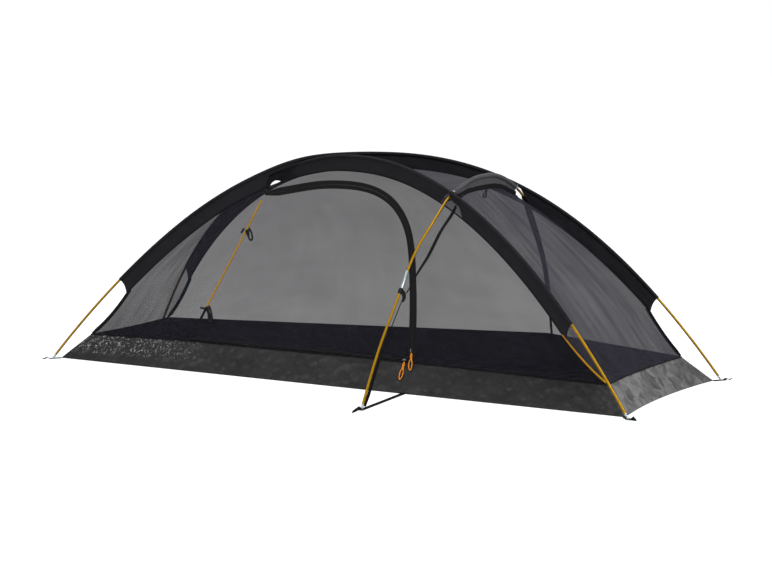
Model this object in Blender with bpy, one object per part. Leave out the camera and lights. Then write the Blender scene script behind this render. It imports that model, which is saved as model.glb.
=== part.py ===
"""One-person tent: a mesh inner tent pitched on two long ridge poles and one awning pole.

Metres. +X runs along the floor from the foot end to the head end, +Y from the door to the
back wall, +Z up. The origin is the middle of the groundsheet's underside. The tent is the
same on both sides of the plane y = 0, apart from the door, the awning pole and the back rim.

Every seam is a polyline with its own knots. The binding on it, the cloth that ends at it and
the sleeve that stands on it are all made from those same knots, so their gaps stay even.
"""

import math

import bmesh
import bpy
import numpy as np

# Floor and its low wall, the bathtub
FLOOR_LENGTH = 2.20
FLOOR_WIDTH_HEAD = 0.75
FLOOR_WIDTH_FOOT = 0.60
FLOOR_END_HOLLOW = 0.030
RIM_HEIGHT = 0.084
WALL_LEAN_END = 0.087
WALL_LEAN_SIDE = 0.066
RIM_END_HOLLOW = 0.015
SILL_RAISE = 0.009
BACK_RIM_RAISE = 0.046

# Cloth, bindings and the gap that touching pieces keep
CLOTH = 0.0012
BINDING_RADIUS = 0.0022
GAP = 0.0003
CLOTH_ROWS = 5
CORNER_CLEAR = 0.004

# Poles: two ridge poles, mirror images of each other about y = 0, and one awning pole.
# The plan's knots give x, and the share of the way out to the pole's own end.
POLE_DIAMETER = 0.0085
POLE_WALL = 0.0009
POLE_OUTSET_END = 0.019
POLE_OUTSET_SIDE = 0.023
RIDGE_HEIGHT = 0.742
RIDGE_ROUNDNESS = 2.2
RIDGE_LEAN = 0.015
CROSSING_X = -0.280
CROSSING_SPREAD = 0.130
PLAN_KNOTS = ((-0.840, -0.536), (CROSSING_X, 0.0), (0.280, 0.475), (0.727, 0.776))
SHOCK_CORD_DIAMETER = 0.0030
TIP_LENGTH = 0.018
TIP_NOSE_DIAMETER = 0.0060
TIP_NOSE_LENGTH = 0.006
KNOT_STEP = 0.085
POLE_SIDES = 8

# Sleeves: a tunnel round the pole and a band of cloth down to the seam. A window is a place
# where the band is left out, so that another pole can pass under the tunnel. Its four places
# in x are its corner on the seam, its two at the tunnel and its other corner on the seam.
BAND_DROP = 0.050
BAND_END_X = 0.907
RIDGE_SLEEVE_BORE = 0.0099
OVER_WINDOW = (-0.425, -0.395, -0.220, -0.200)
UNDER_WINDOW = (-0.425, -0.395, -0.355, -0.335)
HOOP_WINDOW = (0.392, 0.406, 0.464, 0.490)
WINDOW_LIP = 0.0010

# Corner seams hang in a curve from the band's end to the rim's corner
CORNER_SAG_X = 0.070
CORNER_SAG_Z = 0.055
CORNER_CORD_DIAMETER = 0.0044

# Awning pole, from the ground in front under both ridge poles to the ground behind.
# Each leg's knots give the shares of its way in x, y and z, from its foot to the ridge pole.
# The hood's knots give y as a share of the ridge pole's, and z as a share of the ridge's height.
AWNING_FOOT_X = 0.335
AWNING_REACH = 0.3081
FRONT_CROSSING_X = 0.420
REAR_CROSSING_X = 0.447
FRONT_LEG = ((0.259, 0.196, 0.308), (0.541, 0.408, 0.573), (0.742, 0.565, 0.753), (1.047, 0.786, 0.919))
REAR_LEG = (
    (-0.080, 0.271, 0.126), (-0.107, 0.471, 0.271), (-0.067, 0.564, 0.432), (0.093, 0.629, 0.593),
    (0.399, 0.664, 0.738), (0.752, 0.709, 0.875), (0.896, 0.831, 0.944),
)
HOOD_LINE = ((-0.600, 0.913), (-0.157, 0.929), (0.220, 0.925), (0.556, 0.900), (0.803, 0.870))
REAR_FOOT_X = 0.522
REAR_RIM_X = 0.530
HOOP_X = 0.440
HOOP_SEAM_RISE = 0.0615
HOOP_SEAM_SKEW = 1.6
AWNING_JOINTS = (0.435, 0.850, 1.220, 1.640)
FERRULE_LENGTH = 0.060
FERRULE_WALL = 0.0007
AWNING_SLEEVE_BORE = 0.0132
HOOD_HALF_WIDTH = 0.212
REAR_SLEEVE_SPAN = (0.400, 0.900)

# Door: a straight hinge seam and a D-shaped zip that comes back along the sill.
# The arch's knots give x, and z as a share of the ridge's height.
HINGE_LOW_X = -0.583
HINGE_TOP_X = -0.408
HINGE_TOP_Z = 0.775 * RIDGE_HEIGHT
HINGE_REACH = 0.150
HINGE_CORD_DIAMETER = 0.0040
GOLD_HINGE_SHARE = 0.245
ZIP_ARCH = (
    (-0.400, 0.8032), (-0.320, 0.8235), (-0.200, 0.8531), (-0.050, 0.8686), (0.080, 0.8571),
    (0.180, 0.8059), (0.245, 0.7143), (0.285, 0.5256), (0.303, 0.2898), (0.306, 0.1685),
)
ZIP_KNOTS = 26
ZIP_CORNER_RADIUS = 0.014
SILL_ZIP_RISE = 0.0032
ZIP_TAPE_WIDTH = 0.0125
SILL_TAPE_WIDTH = 0.0060
ZIP_GAP = 0.0006
SLIDER_WIDTH = 0.0095
SLIDER_LENGTH = 0.014
SLIDER_DEPTH = 0.0035
SLIDER_CLEARANCE = 0.0009
PULL_CORD_DIAMETER = 0.0026
PULL_LENGTH = 0.046
PULL_WIDTH = 0.013

# Webbing, straps and small fittings
WEB_WIDTH = 0.018
WEB_THICKNESS = 0.0016
CORNER_TAIL = 0.040
AWNING_TAIL = 0.090
EYELET_RADIUS = 0.0056
CORNER_WEB_INSET = 0.0022
STRAP_WIDTH = 0.012
STRAP_THICKNESS = 0.0012
LEG_STRAP_START = 0.030
CLIP_LENGTH = 0.018
CLIP_WALL = 0.0030
TIE_BACK_SHARES = (0.235, 0.785)
TOGGLE_LENGTH = 0.022
TOGGLE_DIAMETER = 0.0055
TOGGLE_OFFSET = 0.0085
LOOP_CORD_DIAMETER = 0.0024
LOOP_LENGTHS = (0.052, 0.038)
LOOP_WIDTH = 0.014
HOOK_WIRE = 0.0026
HOOK_DROP = 0.034
HOOK_BEND = 0.008

HALF_LENGTH = FLOOR_LENGTH / 2
REACH = HALF_LENGTH + POLE_OUTSET_END
RIM_X = HALF_LENGTH - WALL_LEAN_END
POLE_RADIUS = POLE_DIAMETER / 2
SEAT = BINDING_RADIUS + GAP
SLEEVE_RADIUS = RIDGE_SLEEVE_BORE / 2 + CLOTH
CROSSING_RISE = 1.06 * (SLEEVE_RADIUS + WINDOW_LIP / 2 + GAP)
EDGE = 1.1 * SEAT
SIDE_EDGE = 1.35 * SEAT
FRONT, BACK = -1, 1
UP = np.array([0.0, 0.0, 1.0])
LENGTHWAYS = np.array([1.0, 0.0, 0.0])
ACROSS = np.sin(np.linspace(-math.pi / 2, math.pi / 2, 8))
FOOT_SLOPE = RIDGE_HEIGHT * RIDGE_ROUNDNESS / REACH
NOSE_HEIGHT = GAP + TIP_NOSE_DIAMETER / 2 / math.hypot(1, FOOT_SLOPE)

for leftover in list(bpy.data.objects):
    bpy.data.objects.remove(leftover)


# Curves in numbers


def spline(knots, values):
    """Natural cubic spline through values at rising knots, as a function of an array."""
    knots = np.asarray(knots, float)
    values = np.asarray(values, float)
    gaps = np.diff(knots)
    matrix = np.eye(len(knots))
    pull = np.zeros_like(values)
    for i in range(1, len(knots) - 1):
        matrix[i, i - 1:i + 2] = gaps[i - 1], 2 * (gaps[i - 1] + gaps[i]), gaps[i]
        rise_after = (values[i + 1] - values[i]) / gaps[i]
        rise_before = (values[i] - values[i - 1]) / gaps[i - 1]
        pull[i] = 6 * (rise_after - rise_before)
    bend = np.linalg.solve(matrix, pull)

    def at(where):
        where = np.asarray(where, float)
        i = np.clip(np.searchsorted(knots, where) - 1, 0, len(knots) - 2)
        h = gaps[i]
        a = (knots[i + 1] - where) / h
        b = (where - knots[i]) / h
        if values.ndim > 1:
            h, a, b = h[..., None], a[..., None], b[..., None]
        curve = (a ** 3 - a) * bend[i] + (b ** 3 - b) * bend[i + 1]
        return a * values[i] + b * values[i + 1] + curve * h ** 2 / 6

    return at


def unit(vectors):
    return vectors / np.linalg.norm(vectors, axis=-1, keepdims=True)


def tangents(points):
    """Directions along a polyline, averaged at its inner points."""
    steps = unit(np.diff(points, axis=0))
    return unit(np.concatenate([steps[:1], steps[:-1] + steps[1:], steps[-1:]]))


def lengths(points):
    """Distance along a polyline at each of its points."""
    steps = np.linalg.norm(np.diff(points, axis=0), axis=1)
    return np.concatenate([[0.0], np.cumsum(steps)])


def along_line(points, where, measure):
    """Points on a polyline at the given values of a measure that rises along it."""
    return np.stack([np.interp(where, measure, axis) for axis in points.T], -1)


def even(points, count):
    """Count points at equal distances along a polyline."""
    measure = lengths(points)
    return along_line(points, np.linspace(0, measure[-1], count), measure)


def smooth(points, count):
    """Count evenly spaced points of a natural spline through the points."""
    points = np.asarray(points, float)
    measure = lengths(points)
    return even(spline(measure, points)(np.linspace(0, measure[-1], 800)), count)


def through(points, step):
    """Natural spline with a knot at every given point, and more where they lie far apart."""
    points = np.asarray(points, float)
    measure = lengths(points)
    where = [measure[-1:]]
    for low, high in zip(measure[-2::-1], measure[:0:-1]):
        where.insert(0, np.linspace(low, high, max(1, math.ceil((high - low) / step)), endpoint=False))
    return spline(measure, points)(np.concatenate(where))


def cut(points, start, end):
    """The stretch of a polyline between two distances along it, with the knots between."""
    measure = lengths(points)
    inside = measure[(measure > start + 0.002) & (measure < end - 0.002)]
    return along_line(points, np.concatenate([[start], inside, [end]]), measure)


def cut_at_x(points, low, high):
    """The stretch of a polyline, whose x rises, between two places in x."""
    inside = points[(points[:, 0] > low + 0.002) & (points[:, 0] < high - 0.002), 0]
    return along_line(points, np.concatenate([[low], inside, [high]]), points[:, 0])


def beside(path, distance):
    """A polyline in the (x, z) plane moved to the left of its direction by a distance."""
    step = tangents(path)
    return path + np.asarray(distance)[..., None] * np.stack([-step[:, 1], step[:, 0]], -1)


def loft(first, second, keys):
    """Columns between two polylines, each with all of its knots; keys pair their knots."""
    measures = []
    for line, column in ((first, 0), (second, 1)):
        along = lengths(line)
        marks = along[[key[column] for key in keys]]
        measures.append(np.interp(along, marks, np.arange(len(keys))))
    where = np.unique(np.round(np.concatenate(measures), 6))
    merged = [where[0]]
    for value in where[1:]:
        merged += [value] if value - merged[-1] > 1e-3 else []
    share = np.linspace(0, 1, CLOTH_ROWS)[:, None, None]
    sides = [along_line(line, merged, measure) for line, measure in zip((first, second), measures)]
    return sides[0] + (sides[1] - sides[0]) * share


# Floor and rim


def floor_half_width(x):
    share = (x + HALF_LENGTH) / FLOOR_LENGTH
    return (FLOOR_WIDTH_FOOT + (FLOOR_WIDTH_HEAD - FLOOR_WIDTH_FOOT) * share) / 2


def rim_half_width(x):
    return floor_half_width(x) - WALL_LEAN_SIDE


def rim_height(x, side):
    """Front: a level sill under the door. Back: drawn up to the awning pole's sleeve."""
    if side == FRONT:
        return RIM_HEIGHT + SILL_RAISE * np.interp(x, (-RIM_X, HINGE_LOW_X, sill_end_x(), RIM_X), (0, 1, 1, 0))
    return RIM_HEIGHT + BACK_RIM_RAISE * np.interp(x, (-RIM_X, REAR_RIM_X, RIM_X), (0, 1, 0))


def sill_end_x():
    return ZIP_ARCH[-1][0] + 0.002


def rim_side(x, side):
    """The rim's centre line along one long side."""
    x = np.asarray(x, float)
    return np.stack([x, side * rim_half_width(x), rim_height(x, side)], -1)


def rim_end(end, share):
    """The rim's centre line across one end, hollow between its corners."""
    x = end * (RIM_X - RIM_END_HOLLOW * (1 - share ** 2))
    return np.stack([x, rim_half_width(end * RIM_X) * share, np.full_like(x, RIM_HEIGHT)], -1)


# Ridge poles, and the seams that hang below them


def ridge_pole(x, side, crossing=True):
    """Ridge pole's centre line over x. Side 1 starts at the front foot corner, -1 at the back."""
    x = np.asarray(x, float)
    foot_y = -floor_half_width(-HALF_LENGTH) - POLE_OUTSET_SIDE
    head_y = floor_half_width(HALF_LENGTH) + POLE_OUTSET_SIDE
    inner = [(at, share * (head_y if share > 0 else -foot_y)) for at, share in PLAN_KNOTS]
    knots = ((-REACH, foot_y), *inner, (REACH, head_y))
    plan = spline(*zip(*knots))(x)
    share = x / REACH
    arch = 1 - np.abs(share + RIDGE_LEAN * (1 - share ** 2)) ** RIDGE_ROUNDNESS
    z = NOSE_HEIGHT + (RIDGE_HEIGHT - NOSE_HEIGHT) * arch
    if crossing:
        z = z + side * CROSSING_RISE * np.exp(-((x - CROSSING_X) / CROSSING_SPREAD) ** 2)
    return np.stack([x, side * plan, z], -1)


def ridge_knots():
    """Places in x where the ridge poles and all that hangs on them have their knots."""
    stations = (
        -REACH, -BAND_END_X, *UNDER_WINDOW, CROSSING_X, *OVER_WINDOW[2:],
        *HOOP_WINDOW[:2], HOOP_X, *HOOP_WINDOW[2:], BAND_END_X, REACH,
    )
    knots = []
    for low, high in zip(stations[:-1], stations[1:]):
        count = max(1, round((high - low) / KNOT_STEP))
        knots.append(np.linspace(low, high, count, endpoint=False))
    return np.concatenate([*knots, [REACH]])


def seam_below(x, side):
    """Ridge seam: the pole's line moved square to itself, in its own upright plane."""
    step = 1e-4
    ahead = unit(ridge_pole(x + step, side, False) - ridge_pole(x - step, side, False))
    down = unit(ahead * ahead[:, 2:] - UP)
    return ridge_pole(x, side, False) + BAND_DROP * down


def ridge_seam(side):
    """Ridge seam between its sleeve bands' ends, with a knot where it crosses the middle."""
    x = ridge_knots()
    seam = seam_below(x[np.abs(x) <= BAND_END_X + 1e-6], side)
    middle = along_line(seam, [0.0], side * seam[:, 1])
    at = int(np.searchsorted(seam[:, 0], middle[0, 0]))
    near = np.abs(seam[:, 0] - middle[0, 0]) < 0.004
    seam, at = seam[~near], at - int(near[:at].sum())
    return np.insert(seam, at, middle[0], axis=0)


RIDGE_SEAMS = {side: ridge_seam(side) for side in (FRONT, BACK)}


def corner_seam(end, side):
    """Seam from a rim corner up to the band's end: a parabola drawn down near the corner."""
    seam = RIDGE_SEAMS[side * end]
    top = seam[0] if end < 0 else seam[-1]
    corner = rim_side(end * RIM_X, side)
    share = CORNER_SAG_X / (RIM_X - abs(top[0]))
    sag = corner + (top - corner) * share
    sag[2] = corner[2] + CORNER_SAG_Z
    t = np.linspace(0, 1, 7)[:, None]
    return (1 - t) ** 2 * corner + 2 * t * (1 - t) * sag + t ** 2 * top


def wall_top(side):
    """Top edge of a long side's wall: corner, foot leg, crossing, head leg, corner."""
    foot = RIDGE_SEAMS[-side]
    head = RIDGE_SEAMS[side]
    foot = foot[foot[:, 1] * side > 1e-5]
    head = head[head[:, 1] * side > -1e-5]
    return np.concatenate([corner_seam(-1, side), foot[1:], head[:-1], corner_seam(1, side)[::-1]])


WALL_TOPS = {side: wall_top(side) for side in (FRONT, BACK)}
MEETING_X = float(WALL_TOPS[FRONT][np.abs(WALL_TOPS[FRONT][:, 1]).argmin(), 0])


def plain_wall_y(x, z, side):
    """Depth of a long wall stretched straight from the rim to its top edge at the same x."""
    top = WALL_TOPS[side]
    top_y = np.maximum(np.interp(x, top[:, 0], np.abs(top[:, 1])), CLOTH * 1.25)
    top_z = np.interp(x, top[:, 0], top[:, 2])
    low_z = rim_height(x, side)
    share = np.clip((z - low_z) / np.maximum(top_z - low_z, 0.004), -0.2, 1.05)
    return side * (rim_half_width(x) * (1 - share) + top_y * share)


def hinge_point(share):
    """Point on the door's hinge line, from the sill at 0 to the top at 1."""
    low = rim_side(HINGE_LOW_X, FRONT)
    high_y = plain_wall_y(HINGE_TOP_X, HINGE_TOP_Z, FRONT)
    high = np.array([HINGE_TOP_X, float(high_y), HINGE_TOP_Z])
    return low + (high - low) * np.asarray(share, float)[..., None]


def wall_y(x, z, side):
    """The plain wall, on the front drawn to a straight line along the hinge."""
    y = plain_wall_y(x, z, side)
    if side == BACK:
        return y
    share = (z - RIM_HEIGHT - SILL_RAISE) / (HINGE_TOP_Z - RIM_HEIGHT - SILL_RAISE)
    line = hinge_point(share)
    near = np.exp(-((x - line[..., 0]) / HINGE_REACH) ** 2)
    fade = np.clip((1.15 - share) / 0.15, 0, 1)
    return y + (line[..., 1] - plain_wall_y(line[..., 0], z, side)) * near * fade


def on_wall(flat, side=FRONT, out=0.0):
    """Points in the (x, z) plane laid on a long wall, and moved out from it."""
    flat = np.asarray(flat, float)
    x, z = flat[..., 0], flat[..., 1]
    step = 1e-4
    slope_x = (wall_y(x + step, z, side) - wall_y(x - step, z, side)) / (2 * step)
    slope_z = (wall_y(x, z + step, side) - wall_y(x, z - step, side)) / (2 * step)
    outward = unit(side * np.stack([-slope_x, np.ones_like(x), -slope_z], -1))
    return np.stack([x, wall_y(x, z, side), z], -1) + out * outward


def seam_at(x):
    """Point of the back ridge and corner seams at x; the front ones mirror it."""
    top = WALL_TOPS[BACK]
    return along_line(top, x, top[:, 0])


def arch_share(share):
    """Cross profile of the roof: steep at its sides and nearly level between, lower at the back."""
    lower = HOOP_SEAM_SKEW * np.maximum(share, 0) ** 3 * (1 - share ** 2)
    return np.sqrt(np.maximum(1 - share ** 4, 0)) - lower


def crown(x):
    """Rise of roof and head end over the straight line between the ridge seams."""
    roof = np.clip((x - MEETING_X) / (HOOP_X - MEETING_X), 0, 1) ** 3
    head = np.clip((RIM_X - x) / (RIM_X - HOOP_X), 0, 1) ** 2.2
    return HOOP_SEAM_RISE * np.where(x < HOOP_X, roof, head)


def hoop_seam():
    """Seam across the tent under the hood, with the same shares as the cloth on its two sides."""
    seam = seam_at(np.array([HOOP_X]))[0]
    half = seam[1] - SIDE_EDGE
    z = seam[2] + HOOP_SEAM_RISE * arch_share(ACROSS)
    return np.stack([np.full_like(z, HOOP_X), half * ACROSS, z], -1)


# Making objects


def place(name, data, colour, roughness, metallic=0.0, origin=None):
    """Link a sub-part with a material of its own, and its origin where its joint is."""
    finish = bpy.data.materials.new(name)
    finish.use_nodes = True
    shader = finish.node_tree.nodes["Principled BSDF"]
    shader.inputs["Base Color"].default_value = (*colour, 1)
    shader.inputs["Roughness"].default_value = roughness
    shader.inputs["Metallic"].default_value = metallic
    data.materials.append(finish)
    made = bpy.data.objects.new(name, data)
    bpy.context.scene.collection.objects.link(made)
    if origin is not None:
        made.location = tuple(origin)
    return made


COATED = ((0.060, 0.060, 0.065), 0.45)
MESH = ((0.150, 0.150, 0.165), 0.85)
ROOF = ((0.030, 0.030, 0.034), 0.75)
SLEEVE = ((0.016, 0.016, 0.019), 0.75)
HOOD = ((0.070, 0.070, 0.074), 0.75)
BLACK = ((0.008, 0.008, 0.009), 0.80)
GOLD = ((0.360, 0.180, 0.012), 0.35, 1.0)
SILVER = ((0.600, 0.610, 0.630), 0.30, 1.0)
GOLD_CORD = ((0.450, 0.220, 0.015), 0.60)
ORANGE_CORD = ((0.600, 0.200, 0.015), 0.65)
PLASTIC = ((0.014, 0.014, 0.015), 0.45)


def from_faces(name, vertices, faces, look, origin=None):
    shift = np.zeros(3) if origin is None else np.asarray(origin, float)
    mesh = bpy.data.meshes.new(name)
    mesh.from_pydata((np.asarray(vertices, float) - shift).tolist(), [], faces)
    even_out = bmesh.new()
    even_out.from_mesh(mesh)
    bmesh.ops.recalc_face_normals(even_out, faces=even_out.faces)
    even_out.to_mesh(mesh)
    even_out.free()
    return place(name, mesh, *look, origin=origin)


def grid_faces(rows, columns):
    """Quads of a grid of points held row by row."""
    corners = [row * columns + column for row in range(rows - 1) for column in range(columns - 1)]
    return [(c, c + 1, c + columns + 1, c + columns) for c in corners]


def thicken(made, thickness=CLOTH):
    shell = made.modifiers.new("thickness", "SOLIDIFY")
    shell.thickness = thickness
    shell.offset = 0
    shell.use_even_offset = True


def cloth(name, grid, look, origin=None):
    """A sheet of cloth from a grid of points, thickened to both faces."""
    rows, columns = grid.shape[:2]
    made = from_faces(name, grid.reshape(-1, 3), grid_faces(rows, columns), look, origin)
    thicken(made)
    return made


def cord(name, points, diameter, look, closed=False, origin=None):
    """A round cord, binding or wire along a polyline."""
    shift = np.zeros(3) if origin is None else np.asarray(origin, float)
    curve = bpy.data.curves.new(name, "CURVE")
    curve.dimensions = "3D"
    curve.bevel_depth = diameter / 2
    curve.bevel_resolution = 2
    curve.use_fill_caps = not closed
    line = curve.splines.new("POLY")
    line.points.add(len(points) - 1)
    for knot, point in zip(line.points, np.asarray(points) - shift):
        knot.co = (*point, 1)
    line.use_cyclic_u = closed
    return place(name, curve, *look, origin=origin)


def circle(radius, phase=0.5):
    angle = 2 * math.pi * (np.arange(POLE_SIDES) + phase) / POLE_SIDES
    return np.asarray(radius)[..., None, None] * np.stack([np.cos(angle), np.sin(angle)], -1)


def rings(points, facing, section):
    """A section carried along a polyline, its first axis as near to facing as it can be."""
    along = tangents(points)
    facing = np.broadcast_to(facing, points.shape)
    first = unit(facing - along * (along * facing).sum(-1, keepdims=True))
    second = np.cross(along, first)
    return points[:, None] + section[..., :1] * first[:, None] + section[..., 1:] * second[:, None]


def body(name, outer, look, inner=None, origin=None):
    """A body swept through rings, with a bore through it if it has inner rings."""
    count, sides = outer.shape[:2]
    wrap = [(side, (side + 1) % sides) for side in range(sides)]
    faces = []
    for base in (0,) if inner is None else (0, count * sides):
        for ring in range(base, base + (count - 1) * sides, sides):
            faces += [(ring + a, ring + b, ring + b + sides, ring + a + sides) for a, b in wrap]
    vertices = outer.reshape(-1, 3)
    last = (count - 1) * sides
    if inner is None:
        faces += [tuple(range(sides)), tuple(range(last, last + sides))]
    else:
        vertices = np.concatenate([vertices, inner.reshape(-1, 3)])
        for ring in (0, last):
            bore = ring + count * sides
            faces += [(ring + a, ring + b, bore + b, bore + a) for a, b in wrap]
    made = from_faces(name, vertices, faces, look, origin)
    made.data.shade_smooth()
    made.data.set_sharp_from_angle(angle=math.radians(40))
    return made


def tube(name, points, radius, wall, look, facing):
    outer = rings(points, facing, circle(radius))
    inner = rings(points, facing, circle(radius - wall))
    return body(name, outer, look, inner)


def rectangle(width, thickness):
    """Section of a strap, thin along its first axis; width may differ from ring to ring."""
    half = np.asarray(width, float)[..., None] / 2
    thin = np.full(half.shape, thickness / 2)
    x = np.concatenate([-thin, thin, thin, -thin], -1)
    y = np.concatenate([-half, -half, half, half], -1)
    return np.stack([x, y], -1)


def strap(name, points, width, facing, look, thickness=STRAP_THICKNESS):
    return body(name, rings(np.asarray(points, float), facing, rectangle(width, thickness)), look)


# Cloth


def make_floor():
    """Groundsheet, and the low wall that rises from its edge to the rim."""
    shares = np.array([-1, -0.8, HINGE_LOW_X / RIM_X, -0.25, 0.05, sill_end_x() / RIM_X, REAR_RIM_X / RIM_X, 0.8, 1])
    u, v = np.meshgrid(shares, ACROSS)
    x = u * (HALF_LENGTH - FLOOR_END_HOLLOW * (1 - v ** 2))
    floor = np.stack([x, floor_half_width(HALF_LENGTH * u) * v, np.full_like(x, CLOTH / 2)], -1)
    rows, columns = x.shape
    front = [(0, c) for c in range(columns)]
    head = [(r, columns - 1) for r in range(1, rows)]
    back = [(rows - 1, c) for c in range(columns - 2, -1, -1)]
    foot = [(r, 0) for r in range(rows - 2, 0, -1)]
    rim = np.concatenate([
        rim_side(RIM_X * shares, FRONT), rim_end(1, ACROSS[1:-1]),
        rim_side(RIM_X * shares[::-1], BACK), rim_end(-1, ACROSS[-2:0:-1]),
    ])
    edge = front + head + back + foot
    below = np.array([floor[at] for at in edge])
    top = rim - SIDE_EDGE * unit(rim - below)
    faces = grid_faces(rows, columns)
    index = [row * columns + column for row, column in edge]
    first = rows * columns
    for i in range(len(edge)):
        after = (i + 1) % len(edge)
        faces.append((index[i], index[after], first + after, first + i))
    made = from_faces("bathtub_floor", np.concatenate([floor.reshape(-1, 3), top]), faces, COATED)
    thicken(made)
    cord("rim_binding", rim, 2 * BINDING_RADIUS, BLACK, closed=True)


def top_edge(side):
    """Edge of a long wall's cloth under its seams, from rim to rim, in the (x, z) plane."""
    edge = beside(WALL_TOPS[side][:, [0, 2]], -EDGE)
    clear = edge[:, 1] - rim_height(edge[:, 0], side) - EDGE - CORNER_CLEAR
    inside = np.flatnonzero(clear > 0)
    ends = []
    for out, within in ((inside[0] - 1, inside[0]), (inside[-1] + 1, inside[-1])):
        share = clear[within] / (clear[within] - clear[out])
        ends.append(edge[within] + (edge[out] - edge[within]) * share)
    return np.concatenate([ends[:1], edge[inside], ends[1:]])


def make_back_mesh():
    edge = top_edge(BACK)
    x = np.unique(np.round(np.concatenate([edge[:, 0], [REAR_RIM_X]]), 6))
    low = rim_height(x, BACK) + EDGE
    high = np.interp(x, edge[:, 0], edge[:, 1])
    share = np.linspace(0, 1, CLOTH_ROWS)[:, None]
    z = low + (high - low) * share
    cloth("back_mesh", on_wall(np.stack([np.broadcast_to(x, z.shape), z], -1), BACK), MESH)


def zip_arch():
    """Zip line over the door and down its free side, in the (x, z) plane."""
    return smooth(np.array(ZIP_ARCH) * (1, RIDGE_HEIGHT), ZIP_KNOTS)


def zip_line():
    """The whole zip line: the arch, a round corner and back along the sill."""
    arch = zip_arch()
    sill_z = RIM_HEIGHT + SILL_RAISE + EDGE + SILL_ZIP_RISE
    radius = ZIP_CORNER_RADIUS
    centre = np.array([arch[-1, 0] - radius, sill_z + radius])
    angle = np.linspace(0, math.pi / 2, 6)[:, None]
    corner = centre + radius * np.concatenate([np.cos(angle), -np.sin(angle)], 1)
    x = np.linspace(centre[0] - 0.06, HINGE_LOW_X + 0.020, 7)
    sill = np.stack([x, np.full_like(x, sill_z)], -1)
    return np.concatenate([arch, corner, sill])


def door_tape_width(path):
    """Full width round the arch and down the side, narrower along the sill."""
    past = lengths(path) - lengths(zip_arch())[-1]
    return np.interp(past, (0, 2 * ZIP_CORNER_RADIUS), (ZIP_TAPE_WIDTH, SILL_TAPE_WIDTH))


def frame_tape_line():
    """The fixed tape's line runs straight down to the sill where the zip turns away."""
    arch = zip_arch()
    return np.concatenate([arch, [[arch[-1, 0], RIM_HEIGHT + SILL_RAISE + EDGE]]])


def make_zip_tapes(hinge):
    path = frame_tape_line()
    edges = [beside(path, ZIP_GAP / 2), beside(path, ZIP_GAP / 2 + ZIP_TAPE_WIDTH)]
    for edge in edges:
        edge[-1] = edge[-1, 0], path[-1, 1]
    cloth("zip_tape_frame", on_wall(np.stack(edges)), BLACK)
    path = zip_line()
    width = door_tape_width(path)
    edges = [beside(path, -ZIP_GAP / 2), beside(path, -ZIP_GAP / 2 - width)]
    cloth("zip_tape_door", on_wall(np.stack(edges)), BLACK, origin=hinge)


def hinge_edge(side_sign, shares):
    """Cloth edge beside the hinge cord: -1 to the left of it, 1 to the right."""
    line = hinge_point(np.asarray(shares))[:, [0, 2]]
    upward = 1 if line[-1, 1] > line[0, 1] else -1
    return beside(line, -side_sign * upward * (HINGE_CORD_DIAMETER / 2 + 2 * GAP))


def make_front_mesh():
    """Fixed cloth round the door, between the door's edge and the wall's seams."""
    sill_z = RIM_HEIGHT + SILL_RAISE + EDGE
    left = hinge_edge(-1, (0, 0.97))
    left[0] = left[0, 0] - 0.001, sill_z
    path = frame_tape_line()
    outside = beside(path, ZIP_GAP / 2 + ZIP_TAPE_WIDTH + GAP)
    step = tangents(path)[0]
    outside[0] = outside[0] - step * 0.001
    outside[-1, 1] = sill_z
    inner = np.concatenate([left, outside])
    outer = top_edge(FRONT)
    peak = int(np.abs(outer[:, 0] - HINGE_TOP_X).argmin())
    corner = int(np.abs(outer[:, 0] - 0.55).argmin())
    keys = ((0, 0), (2, peak), (len(inner) - 4, corner), (len(inner) - 1, len(outer) - 1))
    cloth("front_mesh", on_wall(loft(inner, outer, keys)), MESH)


def make_door(hinge):
    """Door cloth, from beside the hinge to the inner edge of the zip's tape."""
    path = zip_line()
    free = beside(path, -ZIP_GAP / 2 - door_tape_width(path) - GAP)
    free = free[(free[:, 0] > HINGE_TOP_X + 0.05) | (free[:, 1] < RIM_HEIGHT + 0.1)]
    last_share = (free[-1, 1] - RIM_HEIGHT - SILL_RAISE) / (HINGE_TOP_Z - RIM_HEIGHT - SILL_RAISE)
    edge = hinge_edge(1, (0.95, last_share))
    keys = ((0, 0), (1, len(free) - 1))
    cloth("door_mesh", on_wall(loft(edge, free, keys)), MESH, origin=hinge)


def between_seams(x, hollow):
    """Grid of cloth between the two ridge seams at stations x, clear of their bindings."""
    seam = seam_at(x)
    share = ACROSS[:, None]
    half = seam[:, 1] - SIDE_EDGE
    z = seam[:, 2] + crown(x) * arch_share(share)
    return np.stack([x - hollow * (1 - share ** 2), half * share, z], -1)


def inner_knots(low, high):
    knots = WALL_TOPS[BACK][:, 0]
    inside = knots[(knots > low + 0.006) & (knots < high - 0.006)]
    return np.concatenate([[low], inside, [high]])


def end_hollow(x):
    """How far the end cloth is drawn in, nothing at the band's end and all at the rim."""
    top = abs(RIDGE_SEAMS[BACK][-1, 0])
    return np.sign(x) * RIM_END_HOLLOW * np.clip((np.abs(x) - top) / (RIM_X - top), 0, 1) ** 2


def make_roof_and_ends():
    x = inner_knots(-RIM_X + 0.003, MEETING_X - 0.040)
    cloth("foot_end_mesh", between_seams(x, end_hollow(x)), MESH)
    x = inner_knots(MEETING_X + 0.040, HOOP_X - EDGE)
    cloth("roof_panel", between_seams(x, 0 * x), ROOF)
    x = inner_knots(HOOP_X + EDGE, RIM_X - 0.003)
    cloth("head_end_mesh", between_seams(x, end_hollow(x)), MESH)


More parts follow.
